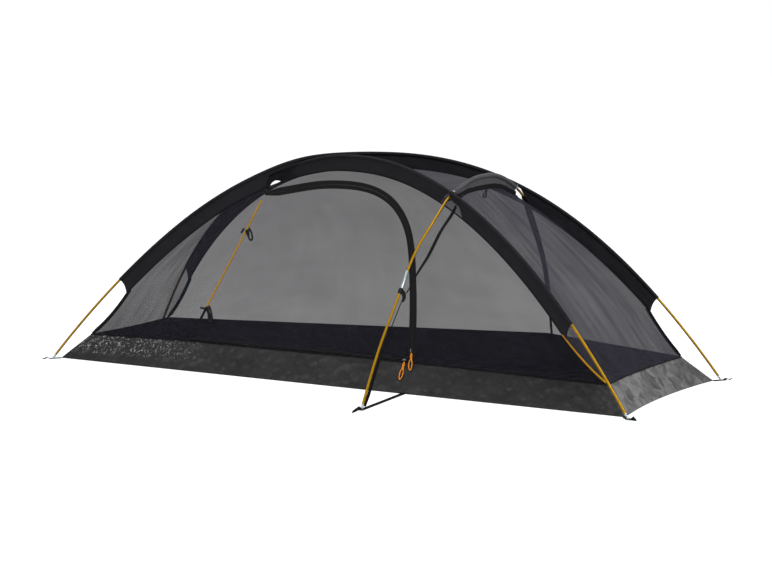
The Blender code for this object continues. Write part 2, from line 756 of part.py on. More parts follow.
def make_seams():
    """Bindings: one whole ridge seam, the other in two halves, and the seam under the hood."""
    trim = 3.6 * SEAT
    whole = np.concatenate([corner_seam(-1, FRONT), RIDGE_SEAMS[1][1:-1], corner_seam(1, BACK)[::-1]])
    cord("ridge_seam_long", cut(whole, trim, lengths(whole)[-1] - trim), 2 * BINDING_RADIUS, BLACK)
    other = RIDGE_SEAMS[-1]
    middle = int(np.abs(other[:, 0] - MEETING_X).argmin())
    heading = unit(other[middle + 1] - other[middle - 1])
    lean = 2 * math.atan2(abs(heading[1]), heading[0])
    clear = (2 * GAP + BINDING_RADIUS * (1 + math.cos(lean))) / math.sin(lean)
    foot = np.concatenate([corner_seam(-1, BACK), other[1:middle + 1]])
    head = other[middle:]
    cord("ridge_seam_foot", cut(foot, trim, lengths(foot)[-1] - clear), 2 * BINDING_RADIUS, BLACK)
    cord("ridge_seam_head", cut(head, clear, lengths(head)[-1]), 2 * BINDING_RADIUS, BLACK)
    corner = corner_seam(1, FRONT)
    corner = cut(corner, trim, lengths(corner)[-1] - 4 * GAP)
    cord("corner_cord", corner, CORNER_CORD_DIAMETER, GOLD_CORD)
    hoop = hoop_seam()
    cord("hoop_seam", cut(hoop, 4 * GAP, lengths(hoop)[-1] - 4 * GAP), 2 * BINDING_RADIUS, BLACK)


# Sleeves


def sleeve(name, points, feet, clear, bore, look, full=1.0):
    """Tunnel round a pole's line and the band down to the feet, at their clearance.

    Full is 1 where the band has its whole width, and 0 in a window, where only a lip is left.
    """
    along = tangents(points)
    down = feet - points
    first = unit(down - along * (along * down).sum(-1, keepdims=True))
    second = np.cross(along, first)
    radius = bore / 2 + CLOTH
    full = np.broadcast_to(full, (len(points),))[:, None]
    lean = math.asin(CLOTH / 2 / radius)
    turn = np.linspace(lean, 2 * math.pi - lean, POLE_SIDES)
    inside = np.concatenate([np.linspace(0.35, 2 * math.pi - 0.35, POLE_SIDES), [-0.12, 0.12]])
    outer = points[:, None] + radius * (
        np.cos(turn)[:, None] * first[:, None] + np.sin(turn)[:, None] * second[:, None]
    )
    ends = full * (feet - clear * unit(down)) + (1 - full) * (points + (radius + WINDOW_LIP) * first)
    web = np.stack([ends - second * CLOTH / 2, ends + second * CLOTH / 2], 1)
    inner = points[:, None] + bore / 2 * (
        np.cos(inside)[:, None] * first[:, None] + np.sin(inside)[:, None] * second[:, None]
    )
    body(name, np.concatenate([outer, web], 1), look, inner)


def band_fullness(x, side):
    """1 where a ridge sleeve has its band, 0 in its windows, straight between their corners."""
    crossing = OVER_WINDOW if side == BACK else UNDER_WINDOW
    corners = (*crossing, *HOOP_WINDOW)
    return np.interp(x, corners, (1, 0, 0, 1, 1, 0, 0, 1))


def make_ridge_sleeve(name, side, route):
    """A ridge pole's sleeve, whole from one end of its band to the other."""
    line = cut_at_x(route, -BAND_END_X, BAND_END_X)
    feet = seam_below(line[:, 0], side)
    sleeve(name, line, feet, EDGE, RIDGE_SLEEVE_BORE, SLEEVE, band_fullness(line[:, 0], side))


def make_awning_sleeves(route):
    """The hood across the top, and the sleeve down the back wall."""
    hoop = hoop_seam()
    ridge_y = float(ridge_pole(HOOP_X, BACK, False)[1])
    top = route[np.abs(route[:, 1]) < ridge_y + 0.02]
    on_pole = top[np.abs(top[:, 1]) < HOOD_HALF_WIDTH - 0.004, 1]
    on_pole = np.concatenate([[-HOOD_HALF_WIDTH], on_pole, [HOOD_HALF_WIDTH]])
    on_seam = hoop[np.abs(hoop[:, 1, None] - on_pole).min(1) > 0.005, 1]
    knots = np.sort(np.concatenate([on_pole, on_seam[np.abs(on_seam) < HOOD_HALF_WIDTH]]))
    line = along_line(top, knots, top[:, 1])
    feet = along_line(hoop, knots, hoop[:, 1])
    sleeve("hood_band", line, feet, 1.5 * EDGE, AWNING_SLEEVE_BORE, HOOD)
    behind = route[route[:, 1] > ridge_y + 0.01]
    high = min(REAR_SLEEVE_SPAN[1] * behind[0, 2], behind[0, 2] - 0.03)
    low = REAR_SLEEVE_SPAN[0] * behind[0, 2]
    inside = behind[(behind[:, 2] > low + 0.01) & (behind[:, 2] < high - 0.01)]
    ends = along_line(behind[::-1], [high, low], behind[::-1, 2])
    line = np.concatenate([ends[:1], inside, ends[1:]])
    feet = on_wall(line[:, [0, 2]], BACK)
    sleeve("rear_sleeve", line, feet, CLOTH / 2 + 5 * GAP, AWNING_SLEEVE_BORE, SLEEVE)


# Poles


def awning_crossing(before, after, side):
    """Place just under a ridge pole's sleeve, clear of it on the way to both neighbours."""
    at = FRONT_CROSSING_X if side == FRONT else REAR_CROSSING_X
    around = ridge_pole(np.array([at - 0.01, at, at + 0.01]), BACK, False) * (1, side, 1)
    clear = SLEEVE_RADIUS + WINDOW_LIP + POLE_RADIUS + 2 * GAP
    normals = unit(np.cross(around[2] - around[0], np.array([before, after]) - around[1] + UP * clear))
    return tuple(around[1] - UP * clear / abs(normals[:, 2]).min())


def awning_leg(foot, shares, side):
    """A leg's knots, from its foot up to its last one below the ridge pole."""
    foot = np.array(foot)
    crossing = FRONT_CROSSING_X if side == FRONT else REAR_CROSSING_X
    top = ridge_pole(crossing, BACK, False) * (1, side, 1) - UP * 1.6 * POLE_DIAMETER
    return [tuple(foot), *map(tuple, foot + (top - foot) * np.array(shares))]


def awning_route():
    """Awning pole's centre line: front foot, under both ridge poles, down the back wall."""
    front_y = -floor_half_width(AWNING_FOOT_X) - AWNING_REACH
    rear_y = floor_half_width(REAR_FOOT_X) + POLE_OUTSET_SIDE
    front = awning_leg((AWNING_FOOT_X, front_y, NOSE_HEIGHT), FRONT_LEG, FRONT)
    back = awning_leg((REAR_FOOT_X, rear_y, NOSE_HEIGHT), REAR_LEG, BACK)[::-1]
    ridge_y = float(ridge_pole(HOOP_X, BACK, False)[1])
    top = [(HOOP_X, share * ridge_y, height * RIDGE_HEIGHT) for share, height in HOOD_LINE]
    under_front = awning_crossing(front[-1], top[0], FRONT)
    under_back = awning_crossing(top[-1], back[0], BACK)
    return through([*front, under_front, *top, under_back, *back], KNOT_STEP)


def make_pole(name, route, facing):
    """Tube, shock cord and the two tips of one pole, all on the same knots."""
    total = lengths(route)[-1]
    middle = cut(route, TIP_LENGTH, total - TIP_LENGTH)
    tube(f"{name}_tube", middle, POLE_RADIUS, POLE_WALL, GOLD, facing)
    inside = cut(route, TIP_LENGTH + GAP, total - TIP_LENGTH - GAP)
    cord(f"{name}_shock_cord", inside, SHOCK_CORD_DIAMETER, PLASTIC)
    radii = np.array([TIP_NOSE_DIAMETER / 2, TIP_NOSE_DIAMETER / 2, POLE_RADIUS, POLE_RADIUS])
    ends = ("front", "rear") if name == "awning" else ("foot", "head")
    for end, line in zip(ends, (route, route[::-1])):
        marks = (0, TIP_NOSE_LENGTH, TIP_NOSE_LENGTH + 0.001, TIP_LENGTH - GAP)
        nose = along_line(line, marks, lengths(line))
        body(f"{name}_tip_{end}", rings(nose, facing, circle(radii)), SILVER)


def make_ferrules(route):
    """Sleeves of bare metal where the awning pole's sections meet."""
    radius = POLE_RADIUS + GAP + FERRULE_WALL
    for number, joint in enumerate(AWNING_JOINTS, 1):
        stretch = cut(route, joint - FERRULE_LENGTH / 2, joint + FERRULE_LENGTH / 2)
        tube(f"awning_ferrule_{number}", stretch, radius, FERRULE_WALL, SILVER, LENGTHWAYS)


# Webbing at the feet


def foot_web(name, start, foot, tail):
    """Webbing on the ground from the floor's edge to past a pole's foot, with an eyelet for it."""
    start, foot = np.asarray(start, float), np.asarray(foot, float)
    ahead = unit(foot - start)
    left = np.array([-ahead[1], ahead[0]])
    back = np.linalg.norm(foot - start)
    reach = np.array([tail, tail, 0, -back, -back, -back, 0, tail])
    aside = np.array([0, 1, 1, 1, 0, -1, -1, -1]) * WEB_WIDTH / 2
    outline = foot + reach[:, None] * ahead + aside[:, None] * left
    eyelet = circle(EYELET_RADIUS, 0)
    eyelet = foot + eyelet[:, :1] * ahead + eyelet[:, 1:] * left
    levels = (0.0, WEB_THICKNESS)
    outer = np.array([np.column_stack([outline, np.full(8, z)]) for z in levels])
    inner = np.array([np.column_stack([eyelet, np.full(8, z)]) for z in levels])
    body(name, outer, BLACK, inner)


def make_foot_webs(ridge_routes, awning):
    for end, end_name in ((-1, "foot"), (1, "head")):
        for side, side_name in ((FRONT, "front"), (BACK, "back")):
            corner = np.array([end * HALF_LENGTH, side * floor_half_width(end * HALF_LENGTH)])
            route = ridge_routes[side * end]
            foot = (route[0] if end < 0 else route[-1])[:2]
            start = corner + CORNER_WEB_INSET * unit(foot - corner)
            foot_web(f"corner_web_{end_name}_{side_name}", start, foot, CORNER_TAIL)
    front_x = 0.312
    start = np.array([front_x, -floor_half_width(front_x) - 3 * GAP - CLOTH])
    foot_web("awning_ground_strap", start, awning[0, :2], AWNING_TAIL)
    start = np.array([REAR_FOOT_X, floor_half_width(REAR_FOOT_X) + 3 * GAP + CLOTH])
    foot_web("awning_web_rear", start, awning[-1, :2], CORNER_TAIL)


def make_awning_straps(route):
    """Clip on the front leg, the strap from the ridge to it and the webbing below it."""
    top = AWNING_JOINTS[0] - FERRULE_LENGTH / 2 - GAP
    stretch = cut(route, top - CLIP_LENGTH, top)
    radius = POLE_RADIUS + GAP + CLIP_WALL
    tube("pole_clip", stretch, radius, CLIP_WALL, PLASTIC, LENGTHWAYS)
    centre = stretch.mean(axis=0)
    seam = seam_at(np.array([HOOP_X - 0.005]))[0] * (1, FRONT, 1)
    start = seam + (SEAT + STRAP_WIDTH / 6) * unit(np.array([0, -1.0, -0.6]))
    towards = unit(start - centre)
    axis = unit(stretch[-1] - stretch[0])
    end = centre + towards * (radius / np.linalg.norm(np.cross(towards, axis)) + 2 * GAP)
    end = end + (0, 0.004, -0.006)
    middle = (start + end) / 2 + (0.001, 0, -0.008)
    path = smooth([start, middle, end], 7)
    strap("awning_strap", path, np.linspace(STRAP_WIDTH, 0.5 * STRAP_WIDTH, 7), (0, -1, 0.6), BLACK)
    low = cut(route, LEG_STRAP_START, top - CLIP_LENGTH - GAP)
    along = tangents(low)
    inward = unit(np.array([0.0, 1.0, 0.0]) - along * along[:, 1:2])
    share = np.linspace(0, 1, len(low))
    away = POLE_RADIUS + 2 * GAP + STRAP_THICKNESS / 2 + 0.007 * np.sin(math.pi * share) ** 0.7
    width = np.where(share < 0.62, STRAP_WIDTH, 0.3 * STRAP_WIDTH)
    strap("pole_strap", low + away[:, None] * inward, width, inward, BLACK)


# Zip sliders and their pulls


def front_skin(x, z, out):
    """Outside of the front: the mesh wall above the sill, the bathtub's wall below it."""
    sill = rim_height(x, FRONT)
    above = on_wall(np.stack([x, np.maximum(z, sill)], -1), FRONT, out)
    lean = WALL_LEAN_SIDE / sill
    low_y = -rim_half_width(x) - lean * (sill - z) - out * math.hypot(1, WALL_LEAN_SIDE / RIM_HEIGHT)
    below = np.stack([x, low_y, z], -1)
    return np.where((z > sill)[..., None], above, below)


def slider(name, at, towards):
    """A zip slider over both tapes: a body with a waist, lying along the zip."""
    out = CLOTH / 2 + SLIDER_CLEARANCE + SLIDER_DEPTH / 2
    centre = on_wall(at, FRONT, out)
    ahead = unit(on_wall(at + 0.02 * towards, FRONT, out) - centre)
    facing = unit(centre - on_wall(at))
    steps = np.array([-0.5, -0.2, 0.2, 0.5]) * SLIDER_LENGTH
    width = np.array([0.75, 1.0, 0.85, 0.65]) * SLIDER_WIDTH
    section = rectangle(width, SLIDER_DEPTH)
    body(name, rings(centre + steps[:, None] * ahead, facing, section), SILVER, origin=centre)
    return centre, ahead


def pull(name, x, top_z, clear):
    """A loop of thin cord that hangs down the outside from a slider."""
    angle = np.linspace(0, 2 * math.pi, 14, endpoint=False)
    across = PULL_WIDTH / 2 * np.sin(angle) * (1 - 0.35 * np.cos(angle))
    down = PULL_LENGTH / 2 * (1 - np.cos(angle))
    z = top_z - down * 0.86
    points = front_skin(x + across, z, clear + PULL_CORD_DIAMETER / 2)
    cord(name, points, PULL_CORD_DIAMETER, ORANGE_CORD, closed=True, origin=points[0])


def make_sliders():
    arch = zip_arch()
    at = arch[-1] + (0, SLIDER_LENGTH / 2 - 0.001)
    at = at - (0.0003, 0)
    centre, _ = slider("slider_side", at, unit(arch[-3] - arch[-1]))
    pull("pull_side", at[0] + 0.002, at[1] - SLIDER_LENGTH / 2 - 0.002, 0.0016)
    sill_z = zip_line()[-1, 1]
    at = np.array([arch[-1, 0] - ZIP_CORNER_RADIUS - SLIDER_LENGTH * 0.6, sill_z + 2 * GAP])
    slider("slider_sill", at, np.array([-1.0, 0.0]))
    pull("pull_sill", at[0], sill_z - SLIDER_WIDTH / 2 - 0.002, 0.0016)


# Hinge seam and door fittings


def make_hinge():
    trim = SEAT / 0.48
    low = hinge_point(np.array([0.0, GOLD_HINGE_SHARE]))
    low[0] = low[0] + unit(low[1] - low[0]) * (trim - 0.001)
    low[1] = low[1] - unit(low[1] - low[0]) * GAP
    cord("hinge_tape", low, HINGE_CORD_DIAMETER * 0.9, BLACK)
    cord("hinge_cord", hinge_point(np.array([GOLD_HINGE_SHARE, 1.0])), HINGE_CORD_DIAMETER, GOLD_CORD)


def make_tie_backs():
    """A toggle to the left of the hinge and an elastic loop on the door, at two heights."""
    line = unit(hinge_point(1.0) - hinge_point(0.0))
    for share, length, level in zip(TIE_BACK_SHARES, LOOP_LENGTHS, ("lower", "upper")):
        at = hinge_point(share)[[0, 2]]
        flat = np.array([line[0], line[2]])
        left = unit(np.array([-flat[1], flat[0]]))
        out = CLOTH / 2 + 2 * GAP + TOGGLE_DIAMETER / 2
        ends = [at + left * TOGGLE_OFFSET + flat * TOGGLE_LENGTH / 2 * k for k in (-1, -0.75, 0.75, 1)]
        points = on_wall(np.array(ends), FRONT, out)
        radii = np.array([0.7, 1.0, 1.0, 0.7]) * TOGGLE_DIAMETER / 2
        pivot = on_wall(at + left * (TOGGLE_OFFSET - TOGGLE_DIAMETER / 2 - GAP), FRONT, CLOTH / 2)
        body(f"toggle_{level}", rings(points, (0, -1, 0), circle(radii)), PLASTIC, origin=pivot)
        angle = np.linspace(0, 2 * math.pi, 12, endpoint=False)
        middle = at + (LOOP_WIDTH / 2 + 0.006, -length / 2 + 0.004)
        flat_loop = middle + np.stack([LOOP_WIDTH / 2 * np.sin(angle), length / 2 * np.cos(angle)], -1)
        out = CLOTH / 2 + 2 * GAP + LOOP_CORD_DIAMETER / 2
        loop = on_wall(flat_loop, FRONT, out)
        cord(f"tie_loop_{level}", loop, LOOP_CORD_DIAMETER, PLASTIC, closed=True, origin=hinge_point(0.0))


def make_lamp_hook():
    """A wire hook that hangs inside from the seam under the hood."""
    seam = hoop_seam()
    top = along_line(seam, [0.0], seam[:, 1])[0] - UP * (SEAT + 2 * GAP)
    angle = np.linspace(0, math.pi, 6)
    bend = np.stack([HOOK_BEND * (np.cos(angle) - 1), -HOOK_BEND * np.sin(angle)], -1)
    shank = np.array([(0, 0), (0, -HOOK_DROP + HOOK_BEND)])
    tip = bend[-1:] + (0, 0.006)
    flat = np.concatenate([shank, bend[1:] + (0, -HOOK_DROP + HOOK_BEND), tip + (0, -HOOK_DROP + HOOK_BEND)])
    points = top + np.column_stack([np.zeros(len(flat)), flat])
    cord("lamp_hook", points, HOOK_WIRE, PLASTIC, origin=top)


def make_tent():
    hinge = hinge_point(0.0)
    make_floor()
    make_back_mesh()
    make_front_mesh()
    make_door(hinge)
    make_zip_tapes(hinge)
    make_roof_and_ends()
    make_seams()
    make_hinge()
    make_tie_backs()
    make_sliders()
    make_lamp_hook()
    ridge_routes = {side: ridge_pole(ridge_knots(), side) for side in (FRONT, BACK)}
    names = {BACK: "ridge_over", FRONT: "ridge_under"}
    for side, route in ridge_routes.items():
        make_pole(names[side], route, UP)
        make_ridge_sleeve(f"{names[side]}_sleeve", side, route)
    awning = awning_route()
    make_pole("awning", awning, LENGTHWAYS)
    make_ferrules(awning)
    make_awning_sleeves(awning)
    make_foot_webs(ridge_routes, awning)
    make_awning_straps(awning)


make_tent()
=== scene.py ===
# %% [markdown]
# # A low tent of black netting on gold poles
#
# The tent is one sewn bag of cloth that hangs on two long ridge poles and one awning pole. This
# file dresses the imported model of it: every panel, band, tape and pole is worked out again from
# the same few curves, on a finer grid, and gets the finish of the real cloth or metal.
#
# Everything is in metres. +X runs along the floor to the wider head end, +Y goes from the door
# side to the back wall, +Z is up. The origin is the middle of the groundsheet's underside.

import math

import bpy
import numpy as np
from mathutils import Matrix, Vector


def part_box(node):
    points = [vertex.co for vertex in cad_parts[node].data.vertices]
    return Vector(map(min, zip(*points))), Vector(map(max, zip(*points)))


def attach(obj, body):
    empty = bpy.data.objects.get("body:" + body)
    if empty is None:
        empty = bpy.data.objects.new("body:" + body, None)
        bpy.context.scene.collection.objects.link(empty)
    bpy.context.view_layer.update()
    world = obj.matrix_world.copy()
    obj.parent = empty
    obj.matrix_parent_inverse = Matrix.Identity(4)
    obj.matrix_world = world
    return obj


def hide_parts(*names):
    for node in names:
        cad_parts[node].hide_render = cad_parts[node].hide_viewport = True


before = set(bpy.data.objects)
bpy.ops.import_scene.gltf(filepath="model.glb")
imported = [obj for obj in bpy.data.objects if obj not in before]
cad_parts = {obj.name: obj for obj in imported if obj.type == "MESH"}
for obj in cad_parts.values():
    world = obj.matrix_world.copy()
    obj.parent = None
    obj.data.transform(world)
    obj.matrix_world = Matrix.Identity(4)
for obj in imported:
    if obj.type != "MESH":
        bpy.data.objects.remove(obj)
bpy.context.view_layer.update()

# %% [markdown]
# ## Sizes
#
# These are the sizes of the tent itself. The numbers that shape its floor, poles, seams and door
# are those that the solids were made from, so a dressed piece follows the solid that it stands
# for. The windows in the sleeves and the thickness of the sheets are set here, by the look of
# the real cloth.

# %% Named sizes
FRONT, BACK = -1, 1
UP = np.array([0.0, 0.0, 1.0])

HALF_LENGTH = 1.10
WIDTH_FOOT, WIDTH_HEAD = 0.60, 0.75
FLOOR_END_HOLLOW = 0.030
GROUND_Z = 0.0012
RIM_HEIGHT = 0.084
RIM_X = HALF_LENGTH - 0.087
WALL_LEAN_SIDE = 0.066
RIM_END_HOLLOW = 0.015
SILL_RAISE = 0.009
BACK_RIM_RAISE = 0.046

POLE_RADIUS = 0.00425
REACH = HALF_LENGTH + 0.019
POLE_OUTSET_SIDE = 0.023
RIDGE_HEIGHT = 0.742
RIDGE_ROUNDNESS = 2.2
RIDGE_LEAN = 0.015
CROSSING_X = -0.280
CROSSING_SPREAD = 0.130
PLAN_KNOTS = ((-0.840, -0.536), (CROSSING_X, 0.0), (0.280, 0.475), (0.727, 0.776))
TIP_LENGTH = 0.018
GAP = 0.0003
FOOT_SLOPE = RIDGE_HEIGHT * RIDGE_ROUNDNESS / REACH
NOSE_HEIGHT = GAP + 0.003 / math.hypot(1, FOOT_SLOPE)

CLOTH = 0.0012
TUB_SHEET, THIN_SHEET = 0.0008, 0.0006
STRAP_THICKNESS = 0.0012
BINDING = 0.0044
BAND_DROP = 0.050
BAND_END_X = 0.907
HEM_RUN = 0.024
TUNNEL_BORE = 0.0099
OVER_WINDOWS = (-0.425, -0.395, -0.284, -0.277, 0.392, 0.406, 0.450, 0.511)
UNDER_WINDOW = (0.394, 0.406, 0.470, 0.497)
LENS_WINDOW = (-0.461, -0.385)
WINDOW_LIP = 0.0010
SLEEVE_RADIUS = TUNNEL_BORE / 2 + CLOTH
CROSSING_RISE = 1.06 * (SLEEVE_RADIUS + WINDOW_LIP / 2 + GAP)
CORNER_SAG_X, CORNER_SAG_Z = 0.070, 0.055

AWNING_FOOT_X = 0.335
AWNING_REACH = 0.3081
AWNING_CROSSING_X = {FRONT: 0.420, BACK: 0.447}
FRONT_LEG = ((0.259, 0.196, 0.308), (0.541, 0.408, 0.573), (0.742, 0.565, 0.753), (1.047, 0.786, 0.919))
REAR_LEG = (
    (-0.080, 0.271, 0.126), (-0.107, 0.471, 0.271), (-0.067, 0.564, 0.432), (0.093, 0.629, 0.593),
    (0.399, 0.664, 0.738), (0.752, 0.709, 0.875), (0.896, 0.831, 0.944),
)
HOOD_LINE = ((-0.600, 0.913), (-0.157, 0.929), (0.220, 0.925), (0.556, 0.900), (0.803, 0.870))
REAR_FOOT_X = 0.522
REAR_RIM_X = 0.530
HOOP_X = 0.440
HOOP_SEAM_RISE = 0.0615
HOOP_SEAM_SKEW = 1.6
AWNING_JOINTS = (0.435, 0.850, 1.220, 1.640)
FERRULE_LENGTH = 0.060
HOOD_HALF_WIDTH = 0.212
HOOD_BORE = 0.0132
REAR_SLEEVE_SPAN = (0.400, 0.900)

HINGE_LOW_X, HINGE_TOP_X, HINGE_TOP_Z = -0.583, -0.408, 0.775 * RIDGE_HEIGHT
HINGE_REACH = 0.150
GOLD_HINGE_SHARE = 0.245
ZIP_ARCH = (
    (-0.400, 0.8032), (-0.320, 0.8235), (-0.200, 0.8531), (-0.050, 0.8686), (0.080, 0.8571),
    (0.180, 0.8059), (0.245, 0.7143), (0.285, 0.5256), (0.303, 0.2898), (0.306, 0.1685),
)
ZIP_CORNER_RADIUS = 0.014
# %% [markdown]
# ## Curves
#
# A pole is a smooth line through a few known places, which is what a natural cubic spline
# gives. Everything else is measured along such lines, so a handful of helpers on whole arrays
# of points does all the work: no piece below is modelled by hand.

# %% Lines as arrays of points


def spline(knots, values):
    """Natural cubic spline: in each gap a cubic whose bend is continuous and ends at zero."""
    knots, values = np.asarray(knots, float), np.asarray(values, float)
    gaps = np.diff(knots)
    inner = slice(1, -1)
    matrix = np.eye(len(knots))
    rows = np.arange(1, len(knots) - 1)
    matrix[rows, rows - 1] = gaps[:-1]
    matrix[rows, rows] = 2 * (gaps[:-1] + gaps[1:])
    matrix[rows, rows + 1] = gaps[1:]
    rise = np.diff(values, axis=0) / gaps.reshape(-1, *[1] * (values.ndim - 1))
    pull = np.zeros_like(values)
    pull[inner] = 6 * np.diff(rise, axis=0)
    bend = np.linalg.solve(matrix, pull)

    def at(where):
        where = np.asarray(where, float)
        i = np.clip(np.searchsorted(knots, where) - 1, 0, len(knots) - 2)
        h = gaps[i]
        a, b = (knots[i + 1] - where) / h, (where - knots[i]) / h
        if values.ndim > 1:
            h, a, b = h[..., None], a[..., None], b[..., None]
        curve = (a ** 3 - a) * bend[i] + (b ** 3 - b) * bend[i + 1]
        return a * values[i] + b * values[i + 1] + curve * h ** 2 / 6

    return at


def unit(vectors):
    """Vectors divided by their lengths."""
    vectors = np.asarray(vectors, float)
    return vectors / np.linalg.norm(vectors, axis=-1, keepdims=True)


def tangents(points):
    """Directions along a line, averaged at its inner points."""
    steps = unit(np.diff(points, axis=0))
    return unit(np.concatenate([steps[:1], steps[:-1] + steps[1:], steps[-1:]]))


def lengths(points):
    """Distance along a line at each of its points."""
    return np.concatenate([[0.0], np.cumsum(np.linalg.norm(np.diff(points, axis=0), axis=1))])


def along_line(points, where, measure):
    """Points on a line at the given values of a measure that rises along it."""
    return np.stack([np.interp(where, measure, axis) for axis in points.T], -1)


def even(points, count):
    """Count points at equal distances along a line."""
    measure = lengths(points)
    return along_line(points, np.linspace(0, measure[-1], count), measure)


def smooth(points, count):
    """Count evenly spaced points of a spline through the points."""
    points = np.asarray(points, float)
    measure = lengths(points)
    return even(spline(measure, points)(np.linspace(0, measure[-1], 3000)), count)


def cut(points, start, end, count):
    """Count evenly spaced points of a line between two distances along it."""
    return along_line(points, np.linspace(start, end, count), lengths(points))


def between(low, high, rows, reach=1.0):
    """Grid of rows from one line towards another, up to a share of the way."""
    return low + (high - low) * np.linspace(0, reach, rows)[:, None, None]


def beside(path, distance):
    """A line in the (x, z) plane moved to the left of its direction by a distance."""
    step = tangents(path)
    return path + np.asarray(distance)[..., None] * np.stack([-step[:, 1], step[:, 0]], -1)


# %% [markdown]
# ## The tent's own curves
#
# The floor is a trapezium. Each ridge pole is an arch over x: its height follows
# 1 - |share| ** 2.2, which is flatter at the top and straighter at the feet than a circle, and
# in plan it swings from one corner to the far one. The ridge seams hang 50 mm below the poles.

# %% Floor, rim, ridge poles and the seams under them


def floor_half_width(x):
    """Half the floor's width: a straight taper from the head end to the foot end."""
    share = (x + HALF_LENGTH) / (2 * HALF_LENGTH)
    return (WIDTH_FOOT + (WIDTH_HEAD - WIDTH_FOOT) * share) / 2


def rim_half_width(x):
    """Half the width between the rims: the floor's, less the lean of the wall."""
    return floor_half_width(x) - WALL_LEAN_SIDE


def rim_height(x, side):
    """Rim of the low wall: level sill under the door, drawn up to the rear leg at the back."""
    if side == FRONT:
        marks = (-RIM_X, HINGE_LOW_X, ZIP_ARCH[-1][0] + 0.002, RIM_X)
        return RIM_HEIGHT + SILL_RAISE * np.interp(x, marks, (0, 1, 1, 0))
    return RIM_HEIGHT + BACK_RIM_RAISE * np.interp(x, (-RIM_X, REAR_RIM_X, RIM_X), (0, 1, 0))


def rim_side(x, side):
    """Rim of a long wall, as points at x."""
    x = np.asarray(x, float)
    return np.stack([x, side * rim_half_width(x), rim_height(x, side)], -1)


def rim_end(end, share):
    """Rim across one end, hollow by a parabola between its corners."""
    x = end * (RIM_X - RIM_END_HOLLOW * (1 - share ** 2))
    return np.stack([x, rim_half_width(end * RIM_X) * share, np.full_like(x, RIM_HEIGHT)], -1)


def ridge_pole(x, side, crossing=True):
    """Centre line of a ridge pole. Side 1 starts at the front foot corner, -1 at the back."""
    x = np.asarray(x, float)
    foot_y = -floor_half_width(-HALF_LENGTH) - POLE_OUTSET_SIDE
    head_y = floor_half_width(HALF_LENGTH) + POLE_OUTSET_SIDE
    inner = [(at, share * (head_y if share > 0 else -foot_y)) for at, share in PLAN_KNOTS]
    plan = spline(*zip((-REACH, foot_y), *inner, (REACH, head_y)))(x)
    share = x / REACH
    arch = 1 - np.abs(share + RIDGE_LEAN * (1 - share ** 2)) ** RIDGE_ROUNDNESS
    z = NOSE_HEIGHT + (RIDGE_HEIGHT - NOSE_HEIGHT) * arch
    if crossing:
        z = z + side * CROSSING_RISE * np.exp(-((x - CROSSING_X) / CROSSING_SPREAD) ** 2)
    return np.stack([x, side * plan, z], -1)


def seam_below(x, side):
    """The pole's line moved square to itself, down in its own upright plane."""
    step = 1e-4
    ahead = unit(ridge_pole(x + step, side, False) - ridge_pole(x - step, side, False))
    return ridge_pole(x, side, False) + BAND_DROP * unit(ahead * ahead[:, 2:] - UP)


BAND_STATIONS = np.linspace(-BAND_END_X, BAND_END_X, 241)
RIDGE_SEAMS = {side: seam_below(BAND_STATIONS, side) for side in (FRONT, BACK)}


def corner_seam(end, side, count=25):
    """Seam from a rim corner to the band's end: a parabola drawn down near the corner."""
    seam = RIDGE_SEAMS[side * end]
    top = seam[0] if end < 0 else seam[-1]
    corner = rim_side(end * RIM_X, side)
    sag = corner + (top - corner) * CORNER_SAG_X / (RIM_X - abs(top[0]))
    sag[2] = corner[2] + CORNER_SAG_Z
    t = np.linspace(0, 1, count)[:, None]
    return (1 - t) ** 2 * corner + 2 * t * (1 - t) * sag + t ** 2 * top


def wall_top(side):
    """Top edge of a long wall: corner, foot leg, crossing, head leg, corner."""
    foot, head = RIDGE_SEAMS[-side], RIDGE_SEAMS[side]
    foot, head = foot[foot[:, 1] * side > 1e-5], head[head[:, 1] * side > 1e-5]
    meeting = along_line(RIDGE_SEAMS[1], [0.0], RIDGE_SEAMS[1][:, 1])
    return np.concatenate([
        corner_seam(-1, side), foot[1:], meeting, head[:-1], corner_seam(1, side)[::-1],
    ])


WALL_TOPS = {side: wall_top(side) for side in (FRONT, BACK)}
SHORT_OF_MEETING = 0.004
MEETING_X = float(along_line(RIDGE_SEAMS[1], [0.0], RIDGE_SEAMS[1][:, 1])[0, 0])
print("ridge seams meet at x", round(MEETING_X, 4))

# %% [markdown]
# ## The long walls
#
# A netting wall is stretched from the rim to the ridge seam above it. At any x it is a straight
# line in y and z between the two, and the front one is pulled on to the door's straight hinge
# by a bell curve of x. So a wall needs only one function, depth = wall_y(x, z), and every piece
# that is sewn on it can be drawn flat in (x, z) and laid on with it.

# %% Depth of a wall, and pieces laid on it


def plain_wall_y(x, z, side):
    """Share of the height between rim and seam gives the same share of the way inward."""
    top = WALL_TOPS[side]
    top_y = np.maximum(np.interp(x, top[:, 0], np.abs(top[:, 1])), 0.0015)
    low_z, top_z = rim_height(x, side), np.interp(x, top[:, 0], top[:, 2])
    share = np.clip((z - low_z) / np.maximum(top_z - low_z, 0.004), -0.2, 1.05)
    return side * (rim_half_width(x) * (1 - share) + top_y * share)


def hinge_point(share):
    """Point on the door's hinge line, from the sill at 0 to the top at 1."""
    low = rim_side(HINGE_LOW_X, FRONT)
    high = np.array([HINGE_TOP_X, float(plain_wall_y(HINGE_TOP_X, HINGE_TOP_Z, FRONT)), HINGE_TOP_Z])
    return low + (high - low) * np.asarray(share, float)[..., None]


